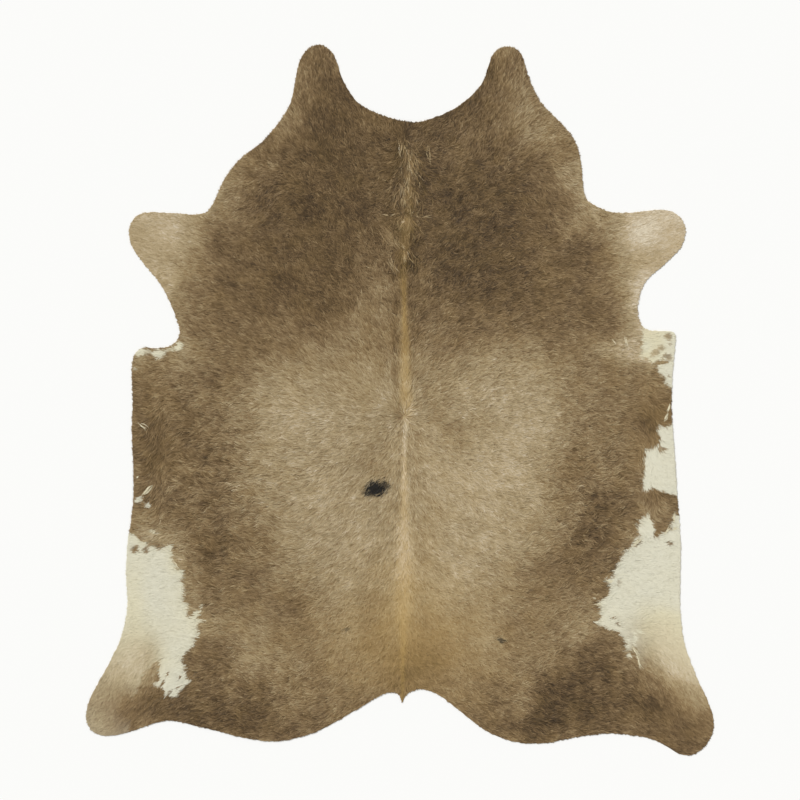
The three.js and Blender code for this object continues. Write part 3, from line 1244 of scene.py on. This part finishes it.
@dataclass(frozen=True)
class LeatherFinish:
    """Chrome-tanned split leather: buffed to a short nap on the flesh side, which gives it a matt,
    slightly cloudy face, and cut clean at the edge, where it shows a paler fibrous core."""

    name: str
    main: str
    cloud: str
    roughness: float
    nap_mm: float
    cloud_mm: float
    nap_height_mm: float
    nap_share: float = 0.35
    cloudy: tuple[float, float] = (0.45, 0.9)
    nap_firm: float = 0.6

    def material(self) -> bpy.types.Material:
        """The finish as a material.

        Returns:
            The material.
        """
        material, shader = new_material(self.name, {"Roughness": self.roughness})
        tree = material.node_tree
        place = add_node(tree, "ShaderNodeTexCoord")
        clouds = add_node(tree, "ShaderNodeTexNoise", None, {
            "Vector": place.outputs["Object"], "Scale": 1 / (self.cloud_mm * MM), "Detail": 5.0,
            "Roughness": 0.6})
        nap = add_node(tree, "ShaderNodeTexNoise", None, {
            "Vector": place.outputs["Object"], "Scale": 1 / (self.nap_mm * MM), "Detail": 4.0,
            "Roughness": 0.7})
        both = add_node(tree, "ShaderNodeMath", {"operation": "MULTIPLY_ADD"}, {
            0: nap.outputs[0], 1: self.nap_share, 2: clouds.outputs[0]})
        clear, cloudy = self.cloudy
        share = add_node(tree, "ShaderNodeMapRange", None, {
            "Value": both.outputs[0], "From Min": clear, "From Max": cloudy})
        colour = CoatFinish.mixed(tree, share.outputs[0], linear(self.main), linear(self.cloud))
        bump = add_node(tree, "ShaderNodeBump", None, {
            "Height": nap.outputs[0], "Distance": self.nap_height_mm * MM, "Strength": self.nap_firm})
        tree.links.new(colour, shader.inputs["Base Color"])
        tree.links.new(bump.outputs[0], shader.inputs["Normal"])
        return material


SUEDE = LeatherFinish("split_leather_flesh_side", "#cdbfa6", "#b6a68c", 0.95, 3.0, 120.0, 0.25)
CUT_LEATHER = LeatherFinish("cut_leather_edge", "#c9b797", "#a8946f", 0.85, 1.5, 30.0, 0.15)


@dataclass
class Leather:
    """The skin: one closed sheet, flat underneath, with a crisp cut edge and faint swells on top.

    Each swell is its radians per metre across and along the hide, its phase and its strength. The
    reaches are shares of the way from the middle to the cut edge, and the edge heights shares of
    the thickness. The map keeps half its width for each face and a low strip for the edge.
    """

    edge: CutEdge
    plan: CoatPlan
    thickness_mm: float = 2.4
    swell_mm: float = 0.35
    swells: tuple[tuple[float, float, float, float], ...] = (
        (9.1, 6.3, 0.6, 1.0), (-12.7, 10.9, 2.1, 0.7),
    )
    undercut_mm: float = 0.3
    arris_mm: float = 0.4
    edge_heights: tuple[float, float, float, float] = (0.0, 0.12, 0.85, 1.0)
    flesh_rings: int = 6
    flesh_reach: tuple[float, float] = (0.12, 0.97)
    hair_rings: int = 22
    hair_reach: tuple[float, float] = (0.985, 0.04)
    hair_crowding: float = 0.8
    map_middle: tuple[float, float] = (0.25, 0.54)
    map_scale: tuple[float, float] = (0.24 / 1.03, 0.45 / 1.17)
    map_strip: tuple[float, float, float, float] = (0.005, 0.01, 0.99, 0.05)
    map_tallest_mm: float = 3.12
    name: str = "leather"

    def section(self) -> tuple[Array, Array, Array, Array]:
        """The sheet's section along one ray, from the middle of the flesh side to that of the hair side.

        Returns:
            For each ring: the share of the way out, the step back from the edge, the share of the
            thickness, and the Side of the faces that start there.
        """
        out = np.linspace(*self.flesh_reach, self.flesh_rings)
        back = np.linspace(*self.hair_reach, self.hair_rings) ** self.hair_crowding
        share = np.concatenate([out, [1, 1, 1, 1], back])
        inset = np.concatenate([out * 0, [self.undercut_mm, 0, 0, self.arris_mm], back * 0]) * MM
        height = np.concatenate([out * 0, self.edge_heights, back * 0 + 1])
        sides = [Side.FLESH] * len(out) + [Side.EDGE] * 3 + [Side.HAIR] * len(back)
        return share, inset, height, np.array([side.value for side in sides])

    def top(self, x: Array, y: Array) -> Array:
        """Height of the skin's hair side in metres: its thickness and two long low sine swells."""
        swell = sum(level * np.sin(a * x + b * y + phase) for a, b, phase, level in self.swells)
        return (self.thickness_mm + 0.5 * self.swell_mm * swell) * MM

    def build(self, materials: list[bpy.types.Material]) -> bpy.types.Object:
        """Makes the sheet: each ring is the cut edge shrunk towards the middle by the section.

        Args:
            materials: The finishes of the hair side, the cut edge and the flesh side.

        Returns:
            The piece.
        """
        share, inset, height, sides = self.section()
        rim = self.edge.points
        rays, rings = len(rim), len(share)
        reach = np.hypot(rim[:, 0], rim[:, 1])[:, None]
        stretch = share[None] - inset[None] / reach
        x, y = rim[:, :1] * stretch, rim[:, 1:] * stretch
        z = height[None] * self.top(x, y)
        middles = np.array([[0, 0, 0], [0, 0, float(self.top(np.zeros(1), np.zeros(1))[0])]])
        points = np.concatenate([np.stack([x, y, z], -1).reshape(-1, 3), middles])

        ray, ring = np.divmod(np.arange(rays * (rings - 1)), rings - 1)
        here, there = ray * rings + ring, (ray + 1) % rays * rings + ring
        quads = np.stack([here, there, there + 1, here + 1], -1)
        flesh_middle, hair_middle = rays * rings, rays * rings + 1
        first = np.arange(rays) * rings
        last = first + rings - 1
        flesh_fan = np.stack([np.full(rays, flesh_middle), np.roll(first, -1), first], -1)
        hair_fan = np.stack([np.full(rays, hair_middle), last, np.roll(last, -1)], -1)
        corners = np.concatenate([quads.ravel(), flesh_fan.ravel(), hair_fan.ravel()])
        sizes = np.concatenate([np.full(len(quads), 4), np.full(2 * rays, 3)])
        piece = new_piece(self.name, points, corners, sizes, materials)
        face_side = np.concatenate([sides[ring], np.full(rays, Side.FLESH.value),
                                    np.full(rays, Side.HAIR.value)])
        piece.data.polygons.foreach_set("material_index", face_side.astype(np.int32))
        self.pigment(piece, points)
        self.unfold(piece, points, corners, sizes, face_side, rays, rings)
        return piece

    def pigment(self, piece: bpy.types.Object, points: Array) -> None:
        """Gives the skin the colour of the coat that grows from it.

        Args:
            piece: The sheet.
            points: Its vertices in metres, one row each.
        """
        x, y = points[:, 0], points[:, 1]
        tone, gold, cream = self.plan.tone(x, y), self.plan.gold(x, y), self.plan.cream(x, y)
        set_attribute(piece, "pigment", np.stack([tone, gold, cream], -1))
        still = np.zeros_like(x)
        set_attribute(piece, "lock", np.stack([still, still, self.plan.black(x, y)], -1))

    def unfold(self, piece: bpy.types.Object, points: Array, corners: Array, sizes: Array,
               face_side: Array, rays: int, rings: int) -> None:
        """Lays the two faces side by side on the map, and the cut edge as a strip below them.

        A corner of the hair or flesh side keeps its plan, shrunk to half the map's width. On the
        edge, u runs with the ray's number and v with the height.

        Args:
            piece: The sheet.
            points: Its vertices in metres, one row each.
            corners: The faces' vertex numbers.
            sizes: The number of corners of each face.
            face_side: The Side of each face.
            rays: How many points the cut edge has.
            rings: How many points each ray has.
        """
        side = np.repeat(face_side, sizes)
        x, y, z = points[corners].T
        u = self.map_middle[0] + self.map_scale[0] * x
        v = self.map_middle[1] + self.map_scale[1] * y
        u = np.where(side == Side.FLESH.value, u + 0.5, u)
        ray = (corners // rings).astype(float)
        first = np.repeat(np.concatenate([[0], np.cumsum(sizes)[:-1]]), sizes)
        wraps = (corners[first] // rings == rays - 1) & (corners // rings == 0)
        ray = np.where(wraps, rays, ray)
        on_edge = side == Side.EDGE.value
        left, low, wide, high = self.map_strip
        u = np.where(on_edge, left + wide * ray / rays, u)
        v = np.where(on_edge, low + high * z / (self.map_tallest_mm * MM), v)
        set_bake_map(piece, np.stack([u, v], -1))


# A lock's height at its root and at its bend as shares of its lift, half its width there as shares
# of its width, and the least height of any of its points in mm
LIFT_AT_ROOT = 0.15
LIFT_AT_BEND = 0.75
HALF_AT_ROOT = 0.36
HALF_AT_BEND = 0.5
LEAST_HEIGHT = 0.2


@dataclass
class Locks:
    """Many locks of hair as one array: each is a narrow blade with a root, a bend and a point."""

    root: Array
    heading: Array
    bend: Array
    length: Array
    width: Array
    roll: Array
    lift: Array
    floor: Array
    droop: Array
    pigment: Array
    shade: Array
    black: Array
    lively: Array

    def chosen(self, which: Array) -> Locks:
        """The locks with these numbers."""
        return Locks(**{name: values[which] for name, values in vars(self).items()})

    def blades(self) -> tuple[Array, Array]:
        """Five points for each blade: two at the root, two at the bend and one at the tip.

        The middle line leaves the root along heading - bend, reaches the bend half way along, and
        turns to heading + bend. Its height rises with the lift up to the tip, less what the tip
        droops. The two edges stand half a width to each side, tilted by roll.

        Returns:
            The points, shaped locks by 5 by 3, and the way from root (-1) to tip (1) for the five.
        """
        first, second = self.heading - self.bend, self.heading + self.bend
        half = 0.5 * self.length
        x0, y0 = self.root.T
        x1, y1 = x0 + half * np.cos(first), y0 + half * np.sin(first)
        x2, y2 = x1 + half * np.cos(second), y1 + half * np.sin(second)
        z0 = self.floor + LIFT_AT_ROOT * self.lift
        z1 = self.floor + LIFT_AT_BEND * self.lift
        z2 = self.floor + (1.0 - self.droop) * self.lift
        across_x, across_y = -np.sin(self.heading), np.cos(self.heading)
        flat, tilt = np.cos(self.roll), np.sin(self.roll)

        def edge(x: Array, y: Array, z: Array, offset: Array) -> Array:
            """A point beside the middle line."""
            return np.stack([x + across_x * offset * flat, y + across_y * offset * flat,
                             z + offset * tilt], -1)

        at_root, at_bend = HALF_AT_ROOT * self.width, HALF_AT_BEND * self.width
        points = np.stack([
            edge(x0, y0, z0, -at_root), edge(x0, y0, z0, at_root),
            edge(x1, y1, z1, -at_bend), edge(x1, y1, z1, at_bend),
            edge(x2, y2, z2, np.zeros_like(x2)),
        ], 1)
        points[:, :, 2] = np.maximum(points[:, :, 2], LEAST_HEIGHT * MM)
        return points, np.array([-1.0, -1.0, 0.0, 0.0, 1.0])

    def build(self, name: str, material: bpy.types.Material) -> bpy.types.Object:
        """Makes one piece of these locks, with a small cell of the bake map for each.

        Args:
            name: The piece's name.
            material: The hair's finish.

        Returns:
            The piece.
        """
        points, along = self.blades()
        count = len(points)
        first = np.arange(count)[:, None] * 5
        faces = np.concatenate([first + np.array([[0, 2, 3, 1]]), first + np.array([[2, 4, 3]])], 1)
        sizes = np.tile([4, 3], count)
        piece = new_piece(name, points.reshape(-1, 3), faces.ravel(), sizes, [material])
        set_attribute(piece, "pigment", np.repeat(self.pigment, 5, axis=0))
        from_root = along[None] * self.lively[:, None]
        lock = [from_root.ravel(), np.repeat(self.shade, 5), np.repeat(self.black, 5)]
        set_attribute(piece, "lock", np.stack(lock, -1))
        columns = math.ceil(math.sqrt(count))
        cell_u, cell_v = np.arange(count) % columns, np.arange(count) // columns
        in_cell = np.array([[0.15, 0.1], [0.15, 0.5], [0.85, 0.5], [0.85, 0.1], [0.15, 0.5],
                            [0.5, 0.9], [0.85, 0.5]])
        cells = np.stack([cell_u, cell_v], -1)[:, None]
        set_bake_map(piece, ((cells + in_cell[None]) / columns).reshape(-1, 2))
        return piece


@dataclass
class Coat:
    """The short coat that covers the whole hair side, grown lock by lock from the skin.

    One lock stands for a few dozen hairs, because single ones are too fine to show. The plays are
    the least and the most of what a lock may differ by, and the shades what its tuft, its streak
    and its own chance add to its lightness. Bend and roll are the spreads of normal draws, in
    radians. A lock's heights count from a little below the skin's top, and its point droops by up
    to a share of its lift, and by more where it stands past the cut edge.
    """

    edge: CutEdge
    plan: CoatPlan
    leather: Leather
    spacing_mm: float = 3.45
    width_mm: float = 2.6
    overhang_mm: float = 1.8
    shortest_mm: float = 6.0
    least_inset_mm: float = 0.5
    seen_at: float = 0.55
    seen_play_mm: float = 1.5
    length_play: tuple[float, float] = (0.72, 1.28)
    width_play: tuple[float, float] = (0.7, 1.3)
    lift_play: tuple[float, float] = (-0.3, 0.35)
    overhang_play: tuple[float, float] = (0.3, 1.0)
    least_outward: float = 0.05
    past_edge_mm: float = 3.0
    bend: float = 0.10
    wave_bend: float = 0.6
    roll: float = 0.28
    sunk_mm: float = 0.1
    droop: float = 0.25
    edge_droop: float = 1.2
    tuft_mix: tuple[float, float] = (0.5, 0.6)
    smooth_width: float = 0.8
    tuft_shade: float = 0.08
    curl_shade: float = 0.12
    streak_shade: float = 0.16
    chance_shade: float = 0.10
    seed: int = 4
    piece_names: tuple[str, ...] = ("coat_neck", "coat_shoulders", "coat_back", "coat_loin", "coat_rump")

    def grow(self) -> Locks:
        """Sets a lock in every cell of a jittered lattice that lies inside the cut edge.

        Near the edge a lock is shortened until its point stands out by no more than the overhang:
        it stands out by its length times the outward share of its heading, less its root's inset.
        A lock takes its colour from the plan a little past its middle, where most of it is seen.
        Where neighbouring locks differ little, the coat lies smoother: wider locks with less roll.

        Returns:
            The coat's locks.
        """
        rng = np.random.default_rng(self.seed)
        step = self.spacing_mm * MM
        low, high = self.edge.points.min(0), self.edge.points.max(0)
        columns, rows = np.meshgrid(np.arange(low[0], high[0], step), np.arange(low[1], high[1], step))
        x = columns.ravel() + rng.uniform(-0.5, 0.5, columns.size) * step
        y = rows.ravel() + rng.uniform(-0.5, 0.5, rows.size) * step
        inset, towards_x, towards_y = signed_inset(self.edge.corners, x, y)
        kept = inset > self.least_inset_mm * MM
        x, y, inset, towards_x, towards_y = (
            values[kept] for values in (x, y, inset, towards_x, towards_y))
        count = len(x)
        curl = self.plan.curl(x, y)
        turn, wave = self.plan.swings(x, y)
        fuzz = self.plan.fuzz(x, y)
        heading = self.plan.heading(x, y) + curl * turn + fuzz * rng.normal(0, 1, count)
        length = self.plan.length(x, y) * rng.uniform(*self.length_play, count)
        outward = np.cos(heading) * towards_x + np.sin(heading) * towards_y
        room = inset + rng.uniform(*self.overhang_play, count) * self.overhang_mm * MM
        limit = np.maximum(room / np.maximum(outward, self.least_outward), self.shortest_mm * MM)
        length = np.minimum(length, limit)
        length = self.trimmed(x, y, heading, length, inset)
        beyond = np.clip((length * outward - inset) / (self.past_edge_mm * MM), 0, 1)
        play = self.seen_play_mm * MM
        seen_x = x + self.seen_at * length * np.cos(heading) + rng.normal(0, play, count)
        seen_y = y + self.seen_at * length * np.sin(heading) + rng.normal(0, play, count)
        lively = self.plan.liveliness(x, y)
        smooth = 1 - np.clip(lively, 0, 1)
        wide, narrow = self.tuft_mix
        tuft = wide * self.plan.tuft.at(x, y) + narrow * self.plan.lock.at(x, y)
        streak = self.plan.streaks(x, y, heading)
        shade = (self.tuft_shade + self.curl_shade * curl) * tuft + self.streak_shade * streak
        shade = shade + rng.normal(0, self.chance_shade, count)
        pigment = np.stack([self.plan.tone(seen_x, seen_y), self.plan.gold(seen_x, seen_y),
                            self.plan.cream(seen_x, seen_y)], -1)
        bend = rng.normal(0, self.bend, count) + self.wave_bend * curl * wave
        width = self.width_mm * MM * rng.uniform(*self.width_play, count)
        return Locks(
            root=np.stack([x, y], -1),
            heading=heading,
            bend=bend,
            length=length,
            width=width * (1 + self.smooth_width * smooth),
            roll=rng.normal(0, self.roll, count) * (1 - smooth),
            lift=self.plan.depth(x, y) * (1 + rng.uniform(*self.lift_play, count) * (1 - smooth)),
            floor=self.leather.top(x, y) - self.sunk_mm * MM,
            droop=self.droop * rng.uniform(0, 1, count) + self.edge_droop * beyond,
            pigment=pigment,
            shade=lively * shade,
            black=self.plan.black(seen_x, seen_y),
            lively=lively,
        )

    def trimmed(self, x: Array, y: Array, heading: Array, length: Array, inset: Array) -> Array:
        """Shortens the locks whose points still stand past the overhang, as at the tail's tip.

        Args:
            x: The roots across the hide, in metres.
            y: The roots along the hide, in metres.
            heading: The way the locks lie.
            length: Their lengths.
            inset: The roots' distances from the cut edge.

        Returns:
            The lengths, each less what its point stands too far out, but not under the shortest.
        """
        near = inset < length
        end_x = x[near] + length[near] * np.cos(heading[near])
        end_y = y[near] + length[near] * np.sin(heading[near])
        outside = -signed_inset(self.edge.corners, end_x, end_y)[0]
        excess = np.maximum(outside - self.overhang_mm * MM, 0)
        trimmed = length.copy()
        trimmed[near] = np.maximum(length[near] - excess, self.shortest_mm * MM)
        return np.minimum(length, trimmed)

    def build(self, material: bpy.types.Material) -> list[bpy.types.Object]:
        """Grows the coat and splits it, from neck to rump, into pieces of equal numbers of locks.

        Args:
            material: The hair's finish.

        Returns:
            The pieces.
        """
        locks = self.grow()
        order = np.argsort(-locks.root[:, 1])
        bands = np.array_split(order, len(self.piece_names))
        pieces = []
        for name, band in zip(self.piece_names, bands):
            strips = np.array_split(band, max(1, int(math.sqrt(len(band)))))
            in_rows = np.concatenate([strip[np.argsort(locks.root[strip, 0])] for strip in strips])
            pieces.append(locks.chosen(in_rows).build(name, material))
        return pieces


@dataclass
class Mane:
    """Longer and more ragged locks along the neck, fanning out between its knots.

    Most of them are a little darker than the coat, and a few far paler: each is lighter by the cube
    of a chance times paler, less darker.
    """

    plan: CoatPlan
    leather: Leather
    count: int = 900
    from_y: float = 850.0
    to_y: float = 440.0
    spread_mm: float = 30.0
    squeeze: float = 0.6
    knots: tuple[float, float, float] = (606.0, 498.0, 400.0)
    fan: float = 0.55
    turn_in: float = 1.1
    gather_mm: float = 45.0
    past_knot_mm: float = 16.0
    length_mm: float = 40.0
    width_mm: float = 2.4
    lift_mm: float = 4.5
    paler: float = 0.42
    darker: float = 0.08
    golder: float = 0.16
    shade: float = -0.09
    shade_play: float = 0.32
    stray: float = 0.28
    bend: float = 0.22
    roll: float = 0.35
    droop: float = 0.35
    length_play: tuple[float, float] = (0.5, 1.3)
    width_play: tuple[float, float] = (0.6, 1.2)
    lift_play: tuple[float, float] = (0.55, 1.25)
    lively: float = 1.6
    streak: float = 0.55
    streak_range: tuple[float, float] = (-0.8, 0.55)
    streak_size_mm: tuple[float, float] = (8.0, 36.0)
    streak_cells: int = 16
    seed: int = 9
    name: str = "mane"

    def grow(self) -> Locks:
        """Sets the locks at random beside the stripe's middle, heading for the tail.

        They fan out to the sides by their distance from the middle, and close to the next knot
        behind them they turn in to it instead: its pull is exp(-distance / gather). Just behind a
        knot they stand closer together, by the squeeze times exp(-distance / gather). Those that
        root in the same cell of a lattice, long from neck to tail, share a lighter or darker shade,
        which draws streaks in the mane's middle.

        Returns:
            The mane's locks.
        """
        rng = np.random.default_rng(self.seed)
        aside = rng.normal(0, 1, self.count)
        y = rng.uniform(self.to_y, self.from_y, self.count) * MM
        first, second, last = (knot * MM for knot in self.knots)
        knot = np.where(y > first, first, np.where(y > second, second, last))
        ahead = np.where(y > first, self.from_y * MM, np.where(y > second, first, second))
        down = y - knot
        pull = np.exp(-down / (self.gather_mm * MM))
        squeezed = 1 - self.squeeze * np.exp((y - ahead) / (self.gather_mm * MM))
        x = self.plan.stripe_middle(y) + aside * squeezed * self.spread_mm * MM
        swerve = aside * (self.fan * (1 - pull) - self.turn_in * pull)
        heading = -math.pi / 2 + swerve + rng.normal(0, self.stray, self.count)
        length = self.length_mm * MM * rng.uniform(*self.length_play, self.count)
        length = np.minimum(length, down + self.past_knot_mm * MM)
        tone = self.plan.tone(x, y) + self.paler * rng.uniform(0, 1, self.count) ** 3 - self.darker
        gold = np.clip(self.plan.gold(x, y) + rng.uniform(0.0, self.golder, self.count), 0, 1)
        still = np.zeros(self.count)
        wide, long = self.streak_size_mm
        cells = np.random.default_rng(self.seed + 1).normal(0, self.streak, [self.streak_cells] * 2)
        across = np.floor(x / (wide * MM)).astype(int) % self.streak_cells
        along = np.floor(y / (long * MM)).astype(int) % self.streak_cells
        streaks = cells.clip(*self.streak_range)[across, along] * np.exp(-aside ** 2)
        return Locks(
            root=np.stack([x, y], -1),
            heading=heading,
            bend=rng.normal(0, self.bend, self.count),
            length=length,
            width=self.width_mm * MM * rng.uniform(*self.width_play, self.count),
            roll=rng.normal(0, self.roll, self.count),
            lift=self.lift_mm * MM * rng.uniform(*self.lift_play, self.count),
            floor=self.leather.top(x, y),
            droop=self.droop * rng.uniform(0, 1, self.count),
            pigment=np.stack([tone, gold, still], -1),
            shade=rng.normal(self.shade, self.shade_play, self.count) + streaks,
            black=still,
            lively=still + self.lively,
        )

    def build(self, material: bpy.types.Material) -> bpy.types.Object:
        """Makes the mane's piece."""
        return self.grow().build(self.name, material)


@dataclass
class Wisps:
    """The single locks of the table, lying on top of the coat: pale ones, and a few dark ones that paint a
    knot's shadow.

    They scatter about their row's place by shares of its spread, across and along their heading.
    """

    plan: CoatPlan
    leather: Leather
    width_mm: float = 2.2
    scatter: tuple[float, float] = (0.6, 1.2)
    stray: float = 0.10
    bend: float = 0.14
    roll: float = 0.2
    droop: float = 0.3
    length_play: tuple[float, float] = (0.7, 1.1)
    width_play: tuple[float, float] = (0.7, 1.3)
    lift_play: tuple[float, float] = (0.7, 1.0)
    in_coat: float = 0.5
    shade_play: float = 0.12
    lively: float = 0.8
    seed: int = 21
    name: str = "wisps"

    def grow(self) -> Locks:
        """Sets each row's locks side by side across their heading, a little uneven in length.

        Returns:
            All rows' locks.
        """
        rng = np.random.default_rng(self.seed)
        counts = [row.count for row in WISPS]
        total = sum(counts)

        def column(name: str) -> Array:
            """One of the table's columns, once for each lock."""
            return np.repeat(np.array([getattr(row, name) for row in WISPS], float), counts)

        turn = np.radians(column("heading"))
        aside = rng.normal(0, self.scatter[0], total) * column("spread") * MM
        along = rng.normal(0, self.scatter[1], total) * column("spread") * MM
        x = column("x") * MM - aside * np.sin(turn) + along * np.cos(turn)
        y = column("y") * MM + aside * np.cos(turn) + along * np.sin(turn)
        still = np.zeros(total)
        return Locks(
            root=np.stack([x, y], -1),
            heading=turn + rng.normal(0, self.stray, total),
            bend=rng.normal(0, self.bend, total),
            length=column("length") * MM * rng.uniform(*self.length_play, total),
            width=self.width_mm * MM * rng.uniform(*self.width_play, total),
            roll=rng.normal(0, self.roll, total),
            lift=self.plan.depth(x, y) * rng.uniform(*self.lift_play, total),
            floor=self.leather.top(x, y) + self.in_coat * self.plan.depth(x, y),
            droop=self.droop * rng.uniform(0, 1, total),
            pigment=np.stack([column("tone"), self.plan.gold(x, y), column("cream")], -1),
            shade=rng.normal(0, self.shade_play, total),
            black=still,
            lively=still + self.lively,
        )

    def build(self, material: bpy.types.Material) -> bpy.types.Object:
        """Makes the wisps' piece."""
        return self.grow().build(self.name, material)


@dataclass(frozen=True)
class Studio:
    """A plain pale floor under broad soft light, and a camera straight above the rug."""

    view_width_m: float = 2.6
    lens_mm: float = 100.0
    sensor_mm: float = 36.0
    floor_colour: str = "#f4f4f2"
    floor_size_m: float = 80.0
    sky_strength: float = 0.40
    key_strength: float = 2.75
    key_spread_deg: float = 26.0
    key_tilt_deg: float = 40.0
    key_turn_deg: float = 38.0

    def build(self) -> None:
        """Adds the floor, the lights and the camera."""
        self.floor()
        self.sky()
        self.key()
        self.camera()

    def camera(self) -> None:
        """The camera: as high as its lens needs for the view width, with the neck at the top."""
        data = bpy.data.cameras.new("camera")
        data.lens = self.lens_mm
        data.sensor_width = self.sensor_mm
        camera = bpy.data.objects.new("camera", data)
        camera.location = (0, 0, self.view_width_m * self.lens_mm / self.sensor_mm)
        data.clip_end = 100
        bpy.context.scene.collection.objects.link(camera)
        bpy.context.scene.camera = camera

    def floor(self) -> None:
        """The floor: one level square."""
        half = self.floor_size_m / 2
        points = np.array([[-half, -half, 0], [half, -half, 0], [half, half, 0], [-half, half, 0]])
        material = new_material("matt_white_floor", {
            "Base Color": linear(self.floor_colour), "Roughness": 0.9, "Specular IOR Level": 0.0})[0]
        new_piece("studio_floor", points, np.arange(4), np.array([4]), [material])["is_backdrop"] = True

    def sky(self) -> None:
        """An even pale light from all round."""
        world = bpy.data.worlds.new("studio")
        world.use_nodes = True
        background = world.node_tree.nodes["Background"]
        background.inputs["Color"].default_value = (1.0, 1.0, 1.0, 1.0)
        background.inputs["Strength"].default_value = self.sky_strength
        bpy.context.scene.world = world

    def key(self) -> None:
        """One wide sun from beyond the left shoulder, as strong all over the rug."""
        data = bpy.data.lights.new("key_light", "SUN")
        data.energy = self.key_strength
        data.angle = math.radians(self.key_spread_deg)
        lamp = bpy.data.objects.new("key_light", data)
        lamp.location = (-2.0, 2.5, 4.0)
        lamp.rotation_euler = (math.radians(-self.key_tilt_deg), 0, math.radians(self.key_turn_deg))
        bpy.context.scene.collection.objects.link(lamp)


def plan_area(points: Array) -> float:
    """Area inside a closed outline: half the sum of x times the next y less y times the next x."""
    x, y = points.T
    return float(0.5 * np.sum(x * np.roll(y, -1) - y * np.roll(x, -1)))


def write_sizes() -> None:
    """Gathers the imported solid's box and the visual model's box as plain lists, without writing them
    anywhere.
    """
    boxes = {"cad": CAD_BOX, "visual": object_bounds()}
    lists = {name: [list(corner) for corner in box] for name, box in boxes.items()}


def main() -> None:
    logging.basicConfig(level=logging.INFO, format="%(message)s")
    bpy.context.scene.view_settings.view_transform = "Standard"
    Studio().build()
    edge, plan, finish = CutEdge(), CoatPlan(), CoatFinish()
    leather = Leather(edge, plan)
    hide = leather.build([finish.undercoat(), CUT_LEATHER.material(), SUEDE.material()])
    hair = finish.material()
    coat = [*Coat(edge, plan, leather).build(hair), Mane(plan, leather).build(hair),
            Wisps(plan, leather).build(hair)]
    for piece in [hide, *coat]:
        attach(piece, BODY)
        LOG.info("%s: %d faces", piece.name, len(piece.data.polygons))
    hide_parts(NODE)
    plan_area(edge.points)
    write_sizes()


if __name__ == "__main__":
    main()
